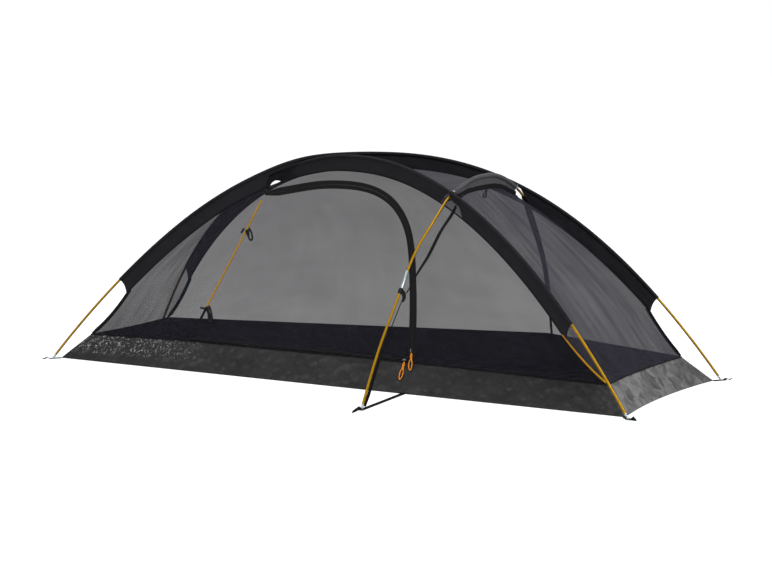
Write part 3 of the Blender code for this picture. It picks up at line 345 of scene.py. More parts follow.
def wall_y(x, z, side):
    """Depth of a long wall; the front one is pulled on to the hinge by a bell curve of x."""
    y = plain_wall_y(x, z, side)
    if side == BACK:
        return y
    low = RIM_HEIGHT + SILL_RAISE
    share = (z - low) / (HINGE_TOP_Z - low)
    line = hinge_point(share)
    near = np.exp(-((x - line[..., 0]) / HINGE_REACH) ** 2)
    fade = np.clip((1.15 - share) / 0.15, 0, 1)
    return y + (line[..., 1] - plain_wall_y(line[..., 0], z, side)) * near * fade


def on_wall(flat, side=FRONT, out=0.0):
    """Points in the (x, z) plane laid on a long wall, and moved out from it."""
    flat = np.asarray(flat, float)
    x, z = flat[..., 0], flat[..., 1]
    step = 1e-4
    slope_x = (wall_y(x + step, z, side) - wall_y(x - step, z, side)) / (2 * step)
    slope_z = (wall_y(x, z + step, side) - wall_y(x, z - step, side)) / (2 * step)
    outward = unit(side * np.stack([-slope_x, np.ones_like(x), -slope_z], -1))
    return np.stack([x, wall_y(x, z, side), z], -1) + np.asarray(out)[..., None] * outward


def seam_at(x):
    """Point of the back ridge and corner seams at x; the front ones mirror it."""
    top = WALL_TOPS[BACK]
    return along_line(top, x, top[:, 0])


def arch_share(share):
    """Cross profile of the roof: the root of 1 - share ** 4, lowered by a bump at the back."""
    lower = HOOP_SEAM_SKEW * np.maximum(share, 0) ** 3 * (1 - share ** 2)
    return np.sqrt(np.maximum(1 - share ** 4, 0)) - lower


def hoop_x(share):
    """Place of the hood's seam across the roof: straight, then bent to the foot end at the front."""
    return HOOP_X - 0.045 * np.clip((-share - 0.8) / 0.2, 0, 1) ** 1.5


def crown(x):
    """Rise of roof and head end over the straight line between the ridge seams."""
    roof = np.clip((x - MEETING_X) / (HOOP_X - MEETING_X), 0, 1) ** 3
    head = np.clip((RIM_X - x) / (RIM_X - HOOP_X), 0, 1) ** 2.2
    return HOOP_SEAM_RISE * np.where(x < HOOP_X, roof, head)


# %% [markdown]
# ## The awning pole's line
#
# The third pole stands in front of the door, climbs to the front ridge pole, slips through a
# window in its sleeve's band, crosses the tent under the hood, passes the other ridge pole in the
# same way and goes down behind the back wall. Its legs are given as shares of the way from the
# foot to the ridge pole, so they would follow a tent of another height or width.

# %% Awning pole's centre line


def awning_crossing(before, after, side):
    """Place just under a ridge pole's sleeve, clear of it on the way to both neighbours."""
    at = AWNING_CROSSING_X[side]
    around = ridge_pole(np.array([at - 0.01, at, at + 0.01]), BACK, False) * (1, side, 1)
    clear = SLEEVE_RADIUS + WINDOW_LIP + POLE_RADIUS + 2 * GAP
    normals = unit(np.cross(around[2] - around[0], np.array([before, after]) - around[1] + UP * clear))
    return tuple(around[1] - UP * clear / abs(normals[:, 2]).min())


def awning_leg(foot, shares, side):
    """A foot, and places at shares of the way from it to just under the ridge pole."""
    foot = np.array(foot)
    top = ridge_pole(AWNING_CROSSING_X[side], BACK, False) * (1, side, 1) - UP * 1.6 * 2 * POLE_RADIUS
    return [tuple(foot), *map(tuple, foot + (top - foot) * np.array(shares))]


def awning_route():
    """One spline through the front leg, a crossing, the top, a crossing and the rear leg."""
    front_y = -floor_half_width(AWNING_FOOT_X) - AWNING_REACH
    rear_y = floor_half_width(REAR_FOOT_X) + POLE_OUTSET_SIDE
    front = awning_leg((AWNING_FOOT_X, front_y, NOSE_HEIGHT), FRONT_LEG, FRONT)
    back = awning_leg((REAR_FOOT_X, rear_y, NOSE_HEIGHT), REAR_LEG, BACK)[::-1]
    ridge_y = float(ridge_pole(HOOP_X, BACK, False)[1])
    top = [(HOOP_X, share * ridge_y, height * RIDGE_HEIGHT) for share, height in HOOD_LINE]
    under_front = awning_crossing(front[-1], top[0], FRONT)
    under_back = awning_crossing(top[-1], back[0], BACK)
    return smooth([*front, under_front, *top, under_back, *back], 500)


AWNING = awning_route()
RIDGES = {side: even(ridge_pole(np.linspace(-REACH, REACH, 1200), side), 400) for side in (FRONT, BACK)}
print("awning pole", round(lengths(AWNING)[-1], 3), "m, ridge pole", round(lengths(RIDGES[1])[-1], 3), "m")

# %% [markdown]
# ## Materials as sums
#
# A pattern such as a weave is arithmetic on coordinates. Writing it as Python expressions keeps
# it readable, so one small class wraps an output socket: adding or multiplying two wires adds
# the Math node, and nearly every other node comes from one function.

# %% A wire, and the function that adds nodes


class Wire:
    """An output socket of a material's nodes. Arithmetic on it adds Math nodes."""

    def __init__(self, tree, socket):
        self.tree, self.socket = tree, socket

    def math(self, operation, *others):
        """Add a Math node with this wire and the others as its inputs."""
        return node(self.tree, "ShaderNodeMath", [self, *others], operation=operation)

    def __add__(self, other):
        return self.math("ADD", other)

    def __sub__(self, other):
        return self.math("SUBTRACT", other)

    def __mul__(self, other):
        return self.math("MULTIPLY", other)

    def __rsub__(self, other):
        return (self * -1).math("ADD", other)

    def sine(self):
        return self.math("SINE")

    def clamped(self):
        return self.math("MAXIMUM", 0.0).math("MINIMUM", 1.0)


def node(tree, kind, inputs=(), out=0, **settings):
    """Add a node: settings first, then its inputs by number or by name."""
    made = tree.nodes.new(kind)
    for key, value in settings.items():
        setattr(made, key, value)
    pairs = inputs.items() if isinstance(inputs, dict) else enumerate(inputs)
    for key, value in pairs:
        if isinstance(value, Wire):
            tree.links.new(value.socket, made.inputs[key])
        elif value is not None:
            made.inputs[key].default_value = value
    return Wire(tree, made.outputs[out])


def grey(value):
    """A colour of three equal parts."""
    return (value, value, value, 1)


def mixed(tree, factor, first, second):
    """Blend of two colours by a factor."""
    made = tree.nodes.new("ShaderNodeMix")
    made.data_type = "RGBA"
    for socket, value in ((made.inputs[0], factor), (made.inputs[6], first), (made.inputs[7], second)):
        if isinstance(value, Wire):
            tree.links.new(value.socket, socket)
        else:
            socket.default_value = value
    return Wire(tree, made.outputs[2])


def finish(name, build, **constants):
    """A material: build(tree) returns the wires of the sockets that vary, by socket name."""
    made = bpy.data.materials.new(name)
    made.use_nodes = True
    tree = made.node_tree
    shader = tree.nodes["Principled BSDF"]
    for key, value in constants.items():
        shader.inputs[key.replace("_", " ")].default_value = value
    for key, wire in build(tree).items():
        tree.links.new(wire.socket, shader.inputs[key])
    return made


def place(tree, source="Object"):
    """A piece's own coordinates: its object space, or its UV map."""
    return node(tree, "ShaderNodeTexCoord", out={"Object": 3, "UV": 2}[source])


def noise(tree, where, scale, detail=3.0, roughness=0.55, distortion=0.0):
    """Smooth random values from 0 to 1; scale is the number of swells in a metre."""
    return node(tree, "ShaderNodeTexNoise", {"Vector": where, "Scale": scale, "Detail": detail,
                                             "Roughness": roughness, "Distortion": distortion})


def parts(tree, where):
    """The x and y of a coordinate, as two wires."""
    made = tree.nodes.new("ShaderNodeSeparateXYZ")
    tree.links.new(where.socket, made.inputs[0])
    return Wire(tree, made.outputs[0]), Wire(tree, made.outputs[1])


def on_piece(tree):
    """Distance along and across a piece, from its UV map."""
    return parts(tree, place(tree, "UV"))


def repeat(at, pitch):
    """A sine of a distance that comes back once in every pitch."""
    return (at * (2 * math.pi / pitch)).sine()


def bump(tree, height, distance):
    """A normal tilted as if the surface were raised by height times distance, in metres."""
    return node(tree, "ShaderNodeBump", {"Height": height, "Distance": distance, "Strength": 1.0})


# %% [markdown]
# ## The finishes
#
# Netting is half air: what one sees is the black thread, and the light that comes through the
# holes. Its threads are about 1 mm apart, too fine to resolve from a few steps away, so its
# cover is a number between thread and hole that the weave and soft folds modulate. The thread is
# nearly black, so that the dark parts behind it stay dark.
#
# The bathtub is nylon with a rubbery coating. It is stiff, so it keeps the small crumples of
# the bag it was packed in. The light on these is painted into its colour: painted shade that
# follows the crumples, short bright painted glints, and on the head end painted cells of lighter
# and darker tone between the creases.

# %% Netting, coated cloth and woven cloth

THREAD = 0.0012
STITCH_PITCH, STITCH_WIDTH = 0.0040, 0.0007
WOVEN_PITCH, BRAID_PITCH, COATING_PITCH = 0.0016, 0.0022, 0.005


def weave(tree, pitch):
    """Two crossed sine waves, one for each way of the thread: 1 on a crossing, 0 in a hole."""
    x, y = on_piece(tree)
    return (repeat(x, pitch) * 0.25 + repeat(y, pitch) * 0.25 + 0.5).clamped()


def stretched_noise(tree, along, across):
    """Noise on the piece's UV map, longer along one way of the cloth than across it."""
    where = node(tree, "ShaderNodeMapping", {"Vector": place(tree, "UV"), "Scale": (along, across, 1.0)})
    return noise(tree, where, 1.0)


def shaded(tree, factor, tone, low, high):
    """A tone between two shares of itself."""
    return mixed(tree, factor, (*[low * c for c in tone], 1), (*[min(1, high * c) for c in tone], 1))


def dashes(along, across, places):
    """Rows of stitches: a ridge of 1 - distance / width at each place, broken by a sine."""
    rows = None
    for at in places:
        row = (1 - (across - at).math("ABSOLUTE") * (1 / STITCH_WIDTH)).clamped()
        rows = row if rows is None else rows.math("MAXIMUM", row)
    return rows * (repeat(along, STITCH_PITCH) * 3 + 1.6).clamped()


def netting(name, cover, tone, folds, depth=0.12):
    """Thread and holes: alpha is the cover, moved a little by weave, clouds and folds."""
    def build(tree):
        cloud = noise(tree, place(tree), 5.0)
        fold = stretched_noise(tree, *folds)
        threads = weave(tree, THREAD)
        alpha = (threads - 0.5) * 0.25 + (cloud - 0.5) * 0.06 + (fold - 0.5) * depth + cover
        return {"Alpha": alpha.clamped(), "Base Color": shaded(tree, fold, tone, 0.7, 1.3)}
    return finish(name, build, Roughness=0.8, Specular_IOR_Level=0.06)


def coated(name, tone, crumple, specular, patch=0.0, crumple_shading=0.9, painted_glint_share=0.0, painted_facet_shading=0.0):
    """Coated nylon: crumples as bump and as painted shade, and where asked lighter patches,
    painted cells of random lighter and darker tone between creases, and painted glints on a
    wall's upper part towards the foot end."""
    def build(tree):
        where = place(tree)
        cells = node(tree, "ShaderNodeTexVoronoi", {"Vector": where, "Scale": 34.0, "Randomness": 1.0})
        wide = noise(tree, where, 11.0, 4.0, distortion=max(0.0, crumple_shading - 1.0) * 0.5)
        fine = noise(tree, where, 65.0, 3.0)
        height = wide * 0.8 + cells * 0.45 + fine * 0.12
        worn = ((noise(tree, where, 26.0, 5.0, 0.7) - 0.56) * 6).clamped() * patch
        # painted shade: the colour follows the crumples' wide noise, which also raises the bump
        shade = (wide - 0.5) * crumple_shading + (fine - 0.5) * 0.5 + 0.45 + worn
        # painted light and shade: each cell between creases gets a random lighter or darker tone, as crumpled
        # facets would under the lamps
        if painted_facet_shading:
            warp = noise(tree, where, 22.0, 4.0, 0.6)
            reach = (0.055, 0.055, 0.055)
            warp = node(tree, "ShaderNodeVectorMath", [warp, reach, where], operation="MULTIPLY_ADD")
            flat = node(tree, "ShaderNodeTexVoronoi", {"Vector": warp, "Scale": 30.0}, out="Color")
            shade = shade + (parts(tree, flat)[0] - 0.5) * painted_facet_shading
        rough = fine * 0.22 + 0.26 + weave(tree, COATING_PITCH) * 0.04
        colour = shaded(tree, shade.clamped(), tone, 0.55, 1.55)
        # painted highlights: pale glints mixed into the colour on a wall's upper part towards the foot end
        if painted_glint_share:
            up = on_piece(tree)[1]
            zone = ((up - 0.028) * 30).clamped() * ((parts(tree, where)[0] * -1 - 0.45) * 3).clamped()
            painted_glint = ((noise(tree, where, 130.0, 3.0, 0.6, 1.0) - 0.57) * 12).clamped() * zone
            colour = mixed(tree, painted_glint * painted_glint_share, colour, grey(0.26))
        return {"Base Color": colour, "Roughness": rough.clamped(), "Normal": bump(tree, height, crumple)}
    return finish(name, build, Specular_IOR_Level=specular)


def woven(name, tone, stitches=(), folds=(6, 45)):
    """Plain-weave polyester with soft folds, and rows of stitches at places across the strip."""
    def build(tree):
        along, across = on_piece(tree)
        threads = weave(tree, WOVEN_PITCH)
        fold = stretched_noise(tree, *folds)
        cloud = noise(tree, place(tree), 20.0, 4.0)
        # painted shade: the folds and clouds that raise the bump also lighten and darken the colour
        shade = threads * 0.15 + fold * 0.45 + cloud * 0.40
        colour = shaded(tree, ((shade - 0.5) * 1.7 + 0.5).clamped(), tone, 0.60, 1.45)
        height = threads * 0.25 + fold * 2.4 + cloud * 1.2
        if stitches:
            sewn = dashes(along, across, stitches)
            colour = mixed(tree, sewn, colour, (*[2.2 * c for c in tone], 1))
            height = height + sewn * 0.5
        return {"Base Color": colour, "Roughness": (cloud * 0.2 + 0.6).clamped(),
                "Normal": bump(tree, height, 0.0016)}
    return finish(name, build, Specular_IOR_Level=0.05)


# %% [markdown]
# ## Metal, cord, tape and plastic
#
# The poles are drawn tubes. A metal shows only reflections, so its finish needs no more than a
# tone, a roughness and fine scratches. Cords and tapes are textiles again, but narrow: their
# strands, ribs and teeth are sines along and across the strip. To model each strand would cost
# thousands of faces for something that is less than a pixel wide.

# %% Metal, cord, webbing and plastic


def metal(name, tone, rough):
    """Drawn tube: fine scratches, and a tone that is a little worn in places."""
    def build(tree):
        where = place(tree)
        scratch = noise(tree, where, 180.0, 3.0)
        worn = noise(tree, where, 16.0, 3.0)
        return {"Base Color": shaded(tree, worn, tone, 0.86, 1.12),
                "Roughness": (scratch * 0.14 + (rough - 0.07)).clamped(),
                "Normal": bump(tree, scratch, 0.00005)}
    return finish(name, build, Metallic=1.0)


def braid(name, tone, specular):
    """Cord: diagonal strands, from a sine of length plus turn and another of length minus turn."""
    def build(tree):
        x, y = on_piece(tree)
        along, round_it = x * (2 * math.pi / BRAID_PITCH), y * (2 * math.pi * 3)
        strands = (along + round_it).sine() * (along - round_it).sine() * 0.5 + 0.5
        return {"Base Color": shaded(tree, strands, tone, 0.6, 1.3), "Normal": bump(tree, strands, 0.0003)}
    return finish(name, build, Roughness=0.7, Specular_IOR_Level=specular)


def ribbed(name, tone, pitch=0.0018):
    """Webbing or tape: ribs across its length, with painted shade in the grooves."""
    def build(tree):
        x, y = on_piece(tree)
        ribs = repeat(x, pitch) * 0.5 + 0.5
        rows = repeat(y, 0.0030) * 0.5 + 0.5
        shade = ribs * 0.6 + rows * 0.4
        return {"Base Color": shaded(tree, shade, tone, 0.6, 1.4), "Normal": bump(tree, shade, 0.0003)}
    return finish(name, build, Roughness=0.75, Specular_IOR_Level=0.04)


def zipper(name, tone):
    """Zip tape: herringbone weave, one row of stitches, and a coil of teeth along the zip's edge."""
    def build(tree):
        x, y = on_piece(tree)
        weft = repeat(x + repeat(y, 0.004) * 0.0006, 0.0016) * 0.5 + 0.5
        coil = ((0.0026 - y) * 2500).clamped()
        teeth = (repeat(x, 0.0014) * 2 + 0.6).clamped() * coil
        sewn = dashes(x, y, (0.0085,))
        colour = shaded(tree, weft, tone, 0.7, 1.3)
        colour = mixed(tree, teeth, colour, grey(0.009))
        colour = mixed(tree, sewn, colour, grey(0.011))
        rough = 0.75 - coil * 0.35
        return {"Base Color": colour, "Roughness": rough, "Normal": bump(tree, weft * 0.2 + teeth, 0.0004)}
    return finish(name, build, Specular_IOR_Level=0.05)


def plastic(name, tone, specular, rough=0.45):
    """Moulded plastic, or a rubber core: fine grain on the surface."""
    def build(tree):
        grain = noise(tree, place(tree), 400.0, 2.0)
        return {"Base Color": shaded(tree, grain, tone, 0.8, 1.2),
                "Roughness": (grain * 0.2 + (rough - 0.1)).clamped(), "Normal": bump(tree, grain, 0.00008)}
    return finish(name, build, Specular_IOR_Level=specular)


def reflective(name, tone):
    """Reflective piping: rows of tiny glass beads, each a pale dot."""
    def build(tree):
        x, y = on_piece(tree)
        beads = repeat(x, 0.0011) * repeat(y, 0.0011) * 0.5 + 0.5
        return {"Base Color": shaded(tree, beads, tone, 0.75, 1.15), "Normal": bump(tree, beads, 0.0002)}
    return finish(name, build, Roughness=0.35, Specular_IOR_Level=0.6)


NETTING_WALL = netting("netting_wall", 0.630, (0.0095, 0.0090, 0.0130), (3, 16))
NETTING_FOOT = netting("netting_foot", 0.765, (0.0095, 0.0090, 0.0140), (3, 34), 0.36)
NETTING_HEAD = netting("netting_head", 0.855, (0.0105, 0.0100, 0.0150), (3, 26), 0.40)
GROUNDSHEET = coated("groundsheet", (0.011, 0.011, 0.012), 0.003, 0.10)
# Bathtub walls: the head end's paler tone and its cells are painted light where the key lamp falls; the side
# and foot walls carry painted glints.
TUB_SIDE = coated("tub_side", (0.0105, 0.0105, 0.0110), 0.008, 0.12, crumple_shading=1.5, painted_glint_share=0.9)
TUB_FOOT = coated("tub_foot", (0.024, 0.024, 0.025), 0.010, 0.14, 0.6, painted_glint_share=0.8)
TUB_HEAD = coated("tub_head", (0.055, 0.055, 0.056), 0.012, 0.14, crumple_shading=1.6, painted_facet_shading=1.3)
ROOF_CLOTH = woven("roof_cloth", (0.027, 0.027, 0.031), folds=(20, 4))
SLEEVE_CLOTH = woven("sleeve_cloth", (0.0085, 0.0085, 0.0100), (0.006, 0.041, 0.079, 0.114))
HOOD_CLOTH = woven("hood_cloth", (0.046, 0.046, 0.049), (0.004, 0.022))
TAPE = ribbed("tape", (0.0050, 0.0050, 0.0056))
ZIP_TAPE = zipper("zip_tape", (0.0055, 0.0055, 0.0062))
WEBBING = ribbed("webbing", (0.0050, 0.0050, 0.0056), 0.0024)
GOLD = metal("gold_anodised", (0.205, 0.110, 0.0036), 0.46)
SILVER = metal("bare_aluminium", (0.250, 0.290, 0.305), 0.30)
BLACK_METAL = metal("painted_metal", (0.030, 0.030, 0.033), 0.40)
GOLD_CORD = braid("gold_cord", (0.27, 0.135, 0.003), 0.05)
ORANGE_CORD = braid("orange_cord", (0.56, 0.19, 0.012), 0.1)
ELASTIC = braid("elastic", (0.005, 0.005, 0.006), 0.1)
RUBBER = plastic("rubber_core", (0.016, 0.016, 0.017), 0.1, 0.7)
PLASTIC = plastic("black_plastic", (0.0035, 0.0035, 0.0040), 0.10)
PIPING = reflective("reflective_piping", (0.22, 0.25, 0.30))
print("finishes", len(bpy.data.materials))

# %% [markdown]
# ## From arrays to meshes
#
# A surface is an array of points in rows and columns. Its quads join neighbours, and its UV map
# is the distance along the rows and columns in metres, so a weave has its real pitch on every
# panel whatever its size.

# %% Surface, tube and strap makers


def solid(name, vertices, faces, material, uv=None):
    """A mesh object at the origin, with its corners' UV taken from its vertices."""
    mesh = bpy.data.meshes.new(name)
    mesh.from_pydata(np.asarray(vertices, float).tolist(), [], faces)
    if uv is not None:
        layer = mesh.uv_layers.new(name="UVMap")
        index = np.empty(len(mesh.loops), int)
        mesh.loops.foreach_get("vertex_index", index)
        layer.data.foreach_set("uv", np.asarray(uv, float)[index].ravel())
    mesh.materials.append(material)
    mesh.polygons.foreach_set("use_smooth", [True] * len(mesh.polygons))
    mesh.update()
    made = bpy.data.objects.new(name, mesh)
    bpy.context.scene.collection.objects.link(made)
    return made


def quads(rows, columns, round_columns=False):
    """Quads of a grid held row by row, closed round its columns if asked."""
    r, c = np.meshgrid(np.arange(rows - 1), np.arange(columns - (not round_columns)), indexing="ij")
    after = (c + 1) % columns
    corners = [r * columns + c, r * columns + after, (r + 1) * columns + after, (r + 1) * columns + c]
    return np.stack(corners, -1).reshape(-1, 4).tolist()


def thicken(piece, thickness):
    """Give a surface a thickness, half of it to each side."""
    shell = piece.modifiers.new("thickness", "SOLIDIFY")
    shell.thickness = thickness
    shell.offset = 0
    return shell


def surface(name, grid, material, thickness=0.0, inner=None):
    """Cloth from a grid of points. UV is the distance along rows and columns, in metres."""
    rows, columns = grid.shape[:2]
    across = np.linalg.norm(np.diff(grid, axis=1), axis=-1).mean(0)
    down = np.linalg.norm(np.diff(grid, axis=0), axis=-1).mean(1)
    u = np.concatenate([[0], np.cumsum(across)])
    v = np.concatenate([[0], np.cumsum(down)])
    uv = np.stack(np.meshgrid(u, v), -1).reshape(-1, 2)
    made = solid(name, grid.reshape(-1, 3), quads(rows, columns), material, uv)
    if thickness:
        shell = thicken(made, thickness)
        if inner:
            made.data.materials.append(inner)
            shell.material_offset = 1
    return made


def rings(points, facing, section, along=None):
    """A section carried along a line, its first axis as near to facing as it can be."""
    along = tangents(points) if along is None else along
    facing = np.broadcast_to(facing, points.shape)
    first = unit(facing - along * (along * facing).sum(-1, keepdims=True))
    second = np.cross(along, first)
    return points[:, None] + section[..., :1] * first[:, None] + section[..., 1:] * second[:, None]


def tube_uv(along, sides):
    """UV of a tube: the distance along it, and the share of the way round."""
    around = np.arange(sides) / sides
    return np.stack(np.broadcast_arrays(along[:, None], around[None]), -1).reshape(-1, 2)


def swept(name, outer, material, uv=None):
    """A closed body through rings of points, with a tube's UV if no other is given."""
    count, sides = outer.shape[:2]
    uv = tube_uv(lengths(outer.mean(1)), sides) if uv is None else uv
    faces = [face[::-1] for face in quads(count, sides, True)]
    faces += [tuple(range(sides)), tuple(range(count * sides - 1, (count - 1) * sides - 1, -1))]
    made = solid(name, outer.reshape(-1, 3), faces, material, uv)
    made.data.set_sharp_from_angle(angle=math.radians(50))
    return made


def circle(radius, sides):
    """Points of a circle at equal angles, one ring of them for each radius."""
    angle = 2 * math.pi * np.arange(sides) / sides
    return np.asarray(radius, float)[..., None, None] * np.stack([np.cos(angle), np.sin(angle)], -1)


def cord(name, points, diameter, material, facing=UP, sides=12):
    """A round tube along a line, of one diameter or of one for each point."""
    section = circle(np.asarray(diameter) / 2, sides)
    return swept(name, rings(np.asarray(points, float), facing, section), material)


def loop(name, points, diameter, material, sides=10):
    """A closed ring of cord through points."""
    points = np.asarray(points, float)
    along = unit(np.roll(points, -1, 0) - np.roll(points, 1, 0))
    outer = rings(points, (0.3, -0.8, 0.5), circle(diameter / 2, sides), along)
    count = len(points)
    faces = quads(count, sides, True)
    last = (count - 1) * sides
    faces += [[last + a, last + (a + 1) % sides, (a + 1) % sides, a] for a in range(sides)]
    uv = tube_uv(np.linspace(0, lengths(points)[-1], count), sides)
    return solid(name, outer.reshape(-1, 3), [face[::-1] for face in faces], material, uv)


def strap(name, points, width, thickness, facing, material):
    """Flat webbing: a rectangle with rounded edges carried along a line. UV is in metres."""
    sides = 20
    turn = np.linspace(0, 2 * math.pi, sides, endpoint=False)
    shape = np.stack([np.sign(np.cos(turn)) * np.abs(np.cos(turn)) ** 0.35,
                      np.sign(np.sin(turn)) * np.abs(np.sin(turn)) ** 0.12], -1) / 2
    points = np.asarray(points, float)
    size = np.stack([np.full(len(points), thickness), np.broadcast_to(width, (len(points),))], -1)
    across = np.tile((shape[:, 1] + 0.5) * float(np.max(width)), len(points))
    uv = np.stack([np.repeat(lengths(points), sides), across], -1)
    return swept(name, rings(points, facing, shape[None] * size[:, None]), material, uv)


def wear(piece, body, nodes=()):
    """Ride on a body, and stand for CAD nodes, which are hidden."""
    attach(piece, body)
    if nodes:
        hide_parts(*nodes)
    return piece


def tape(name, line, width, thickness, facing, nodes=(), body="tent", material=TAPE):
    """Black tape or webbing that is sewn on along a line."""
    return wear(strap(name, line, width, thickness, facing, material), body, nodes)


def grid_area(grid):
    """Area of a grid of points: half the cross product of each quad's diagonals, summed."""
    one, two = grid[1:, 1:] - grid[:-1, :-1], grid[1:, :-1] - grid[:-1, 1:]
    return float(np.linalg.norm(np.cross(one, two), axis=-1).sum() / 2)


def cloth(name, grid, material, body, nodes, thickness=0.0, inner=None):
    """A sheet of cloth; its flat size and its area are printed. Its flat size is its longest row by
    its longest column, along any curve.

    Where a row follows a curved edge, as on the door, that size is larger than the cloth it is
    cut from. The larger of the area and 0.31 of that size is worked out, but not used. The least
    area that is accepted is 0.3 of the size, and a measured area under 0.31 of it is raised to
    that: the door and the front wall are declared with more than they have.
    """
    piece = wear(surface(name, grid, material, thickness, inner), body, nodes)
    long_way = max(lengths(grid[0])[-1], lengths(grid[-1])[-1], lengths(grid[len(grid) // 2])[-1])
    middle = [lengths(grid[:, c])[-1] for c in range(0, grid.shape[1], max(1, grid.shape[1] // 12))]
    area = grid_area(grid)
    flat = (max(max(middle), area / long_way), long_way)
    max(area, 0.31 * flat[0] * flat[1])
    print(f"{name}: {flat[1]:.2f} x {flat[0]:.2f} m, {area:.3f} m2")
    return piece


# %% [markdown]
# ## The bathtub
#
# The groundsheet is flat, and its edge turns up into a low wall that leans inwards to the rim.
# The floor is one grid and each wall another; they meet at the floor's edge and at the corners.
# The head end's paler outside is painted light, where the key lamp falls on it; the foot end's
# outside is paler with lighter patches, and all walls are black inside, so a wall's shell has two
# finishes: the first lies on the side that the quads face. Columns are put in the order that
# makes them face outwards.

# %% Floor and its low wall


def crumple(grid, size, amount, seed, hold=None):
    """Move points along their normals by a sum of sine waves in random directions."""
    rng = np.random.default_rng(seed)
    rows = np.gradient(grid, axis=0)
    columns = np.gradient(grid, axis=1)
    normal = np.cross(columns, rows)
    normal /= np.maximum(np.linalg.norm(normal, axis=-1, keepdims=True), 1e-12)
    waves = unit(rng.normal(size=(24, 3))) * (2 * math.pi / size) * rng.uniform(0.5, 2.2, (24, 1))
    phase = rng.uniform(0, 2 * math.pi, 24)
    height = np.sin(grid @ waves.T + phase).sum(-1) / math.sqrt(24)
    hold = 1.0 if hold is None else hold
    return grid + normal * (amount * height * hold)[..., None]


def edge_hold(rows, columns):
    """1 inside a grid and 0 on its edges, so that a crumpled panel keeps its seams."""
    margin = 0.12
    r, c = np.meshgrid(np.linspace(0, 1, rows), np.linspace(0, 1, columns), indexing="ij")
    inside = np.minimum(np.minimum(r, 1 - r), np.minimum(c, 1 - c) * columns / rows)
    return np.clip(inside / margin, 0, 1)


def floor_edge(share, side):
    """Ground line of a long wall at a share of the length from -1 to 1."""
    x = HALF_LENGTH * share
    return np.stack([x, side * floor_half_width(x), np.full_like(x, GROUND_Z)], -1)


TUB_ROWS, SIDE_COLUMNS, END_COLUMNS = 16, 300, 110
FLOOR_ROWS, FLOOR_COLUMNS = 70, 190


def side_wall(side):
    """Low wall of a long side: straight lines from the ground up to the rim."""
    share = np.linspace(-1, 1, SIDE_COLUMNS)
    return between(floor_edge(share, side), rim_side(RIM_X * share, side), TUB_ROWS)


def end_wall(end):
    """Low wall of an end: hollow by one parabola at the ground and by another at the rim."""
    share = np.linspace(-1, 1, END_COLUMNS)
    x = end * (HALF_LENGTH - FLOOR_END_HOLLOW * (1 - share ** 2))
    low = np.stack([x, floor_half_width(end * HALF_LENGTH) * share, np.full_like(x, GROUND_Z)], -1)
    return between(low, rim_end(end, share), TUB_ROWS)


def floor_grid():
    """The floor in shares u along and v across; a parabola of v makes its ends hollow."""
    u, v = np.meshgrid(np.linspace(-1, 1, FLOOR_COLUMNS), np.linspace(-1, 1, FLOOR_ROWS))
    x = u * (HALF_LENGTH - FLOOR_END_HOLLOW * (1 - v ** 2))
    return np.stack([x, floor_half_width(HALF_LENGTH * u) * v, np.full_like(x, GROUND_Z)], -1)


ground = floor_grid()
lift = np.abs(crumple(ground, 0.16, 0.0020, 4, edge_hold(*ground.shape[:2])) - ground)
cloth("groundsheet", ground + lift * (0, 0, 1), GROUNDSHEET, "tent", ["bathtub_floor"],
      TUB_SHEET)
for side, name in ((FRONT, "front"), (BACK, "back")):
    wall = side_wall(side)
    wall = crumple(wall[:, ::-side], 0.07, 0.0016, 3 + side, edge_hold(*wall.shape[:2]))
    cloth(f"bathtub_wall_{name}", wall, TUB_SIDE, "tent", [], TUB_SHEET,
          inner=GROUNDSHEET)
for end, name, finish_out in ((-1, "foot", TUB_FOOT), (1, "head", TUB_HEAD)):
    wall = end_wall(end)
    wall = crumple(wall[:, ::end], 0.11, 0.0020, 8 + end, edge_hold(*wall.shape[:2]))
    cloth(f"bathtub_wall_{name}", wall, finish_out, "tent", [], TUB_SHEET,
          inner=GROUNDSHEET)

# %% [markdown]
# ## The netting
#
# Each wall's outline is known, so its grid is a ruled surface between two outlines: the front
# wall between the door's edge and the seams, the door between its hinge and its zip, the back
# wall between rim and seam.

# %% Walls of netting


def wall_edge(side):
    """Outline of a long wall under its seams, from rim to rim, in the (x, z) plane."""
    edge = WALL_TOPS[side][:, [0, 2]]
    return edge[edge[:, 1] > rim_height(edge[:, 0], side) - 1e-9]


SILL_Z = RIM_HEIGHT + SILL_RAISE


def ruled(first, second, rows, columns, first_marks, second_marks):
    """Grid between two outlines; the marks are shares of their lengths that face each other."""
    where = np.linspace(0, len(first_marks) - 1, columns)
    lines = []
    for line, marks in ((first, first_marks), (second, second_marks)):
        along = lengths(line)
        lines.append(along_line(line, np.interp(where, np.arange(len(marks)), marks) * along[-1], along))
    return between(*lines, rows)


def share_at(line, point):
    """Share of a line's length at the place nearest to a point."""
    measure = lengths(line)
    return float(measure[np.linalg.norm(line - point, axis=1).argmin()] / measure[-1])


back_edge = wall_edge(BACK)
x = np.linspace(back_edge[0, 0], back_edge[-1, 0], 260)
low, high = rim_height(x, BACK), np.interp(x, back_edge[:, 0], back_edge[:, 1])
z = low + (high - low) * np.linspace(0, 1, 50)[:, None]
cloth("back_wall", on_wall(np.stack([np.broadcast_to(x, z.shape), z], -1), BACK), NETTING_WALL, "tent",
      ["back_mesh"])

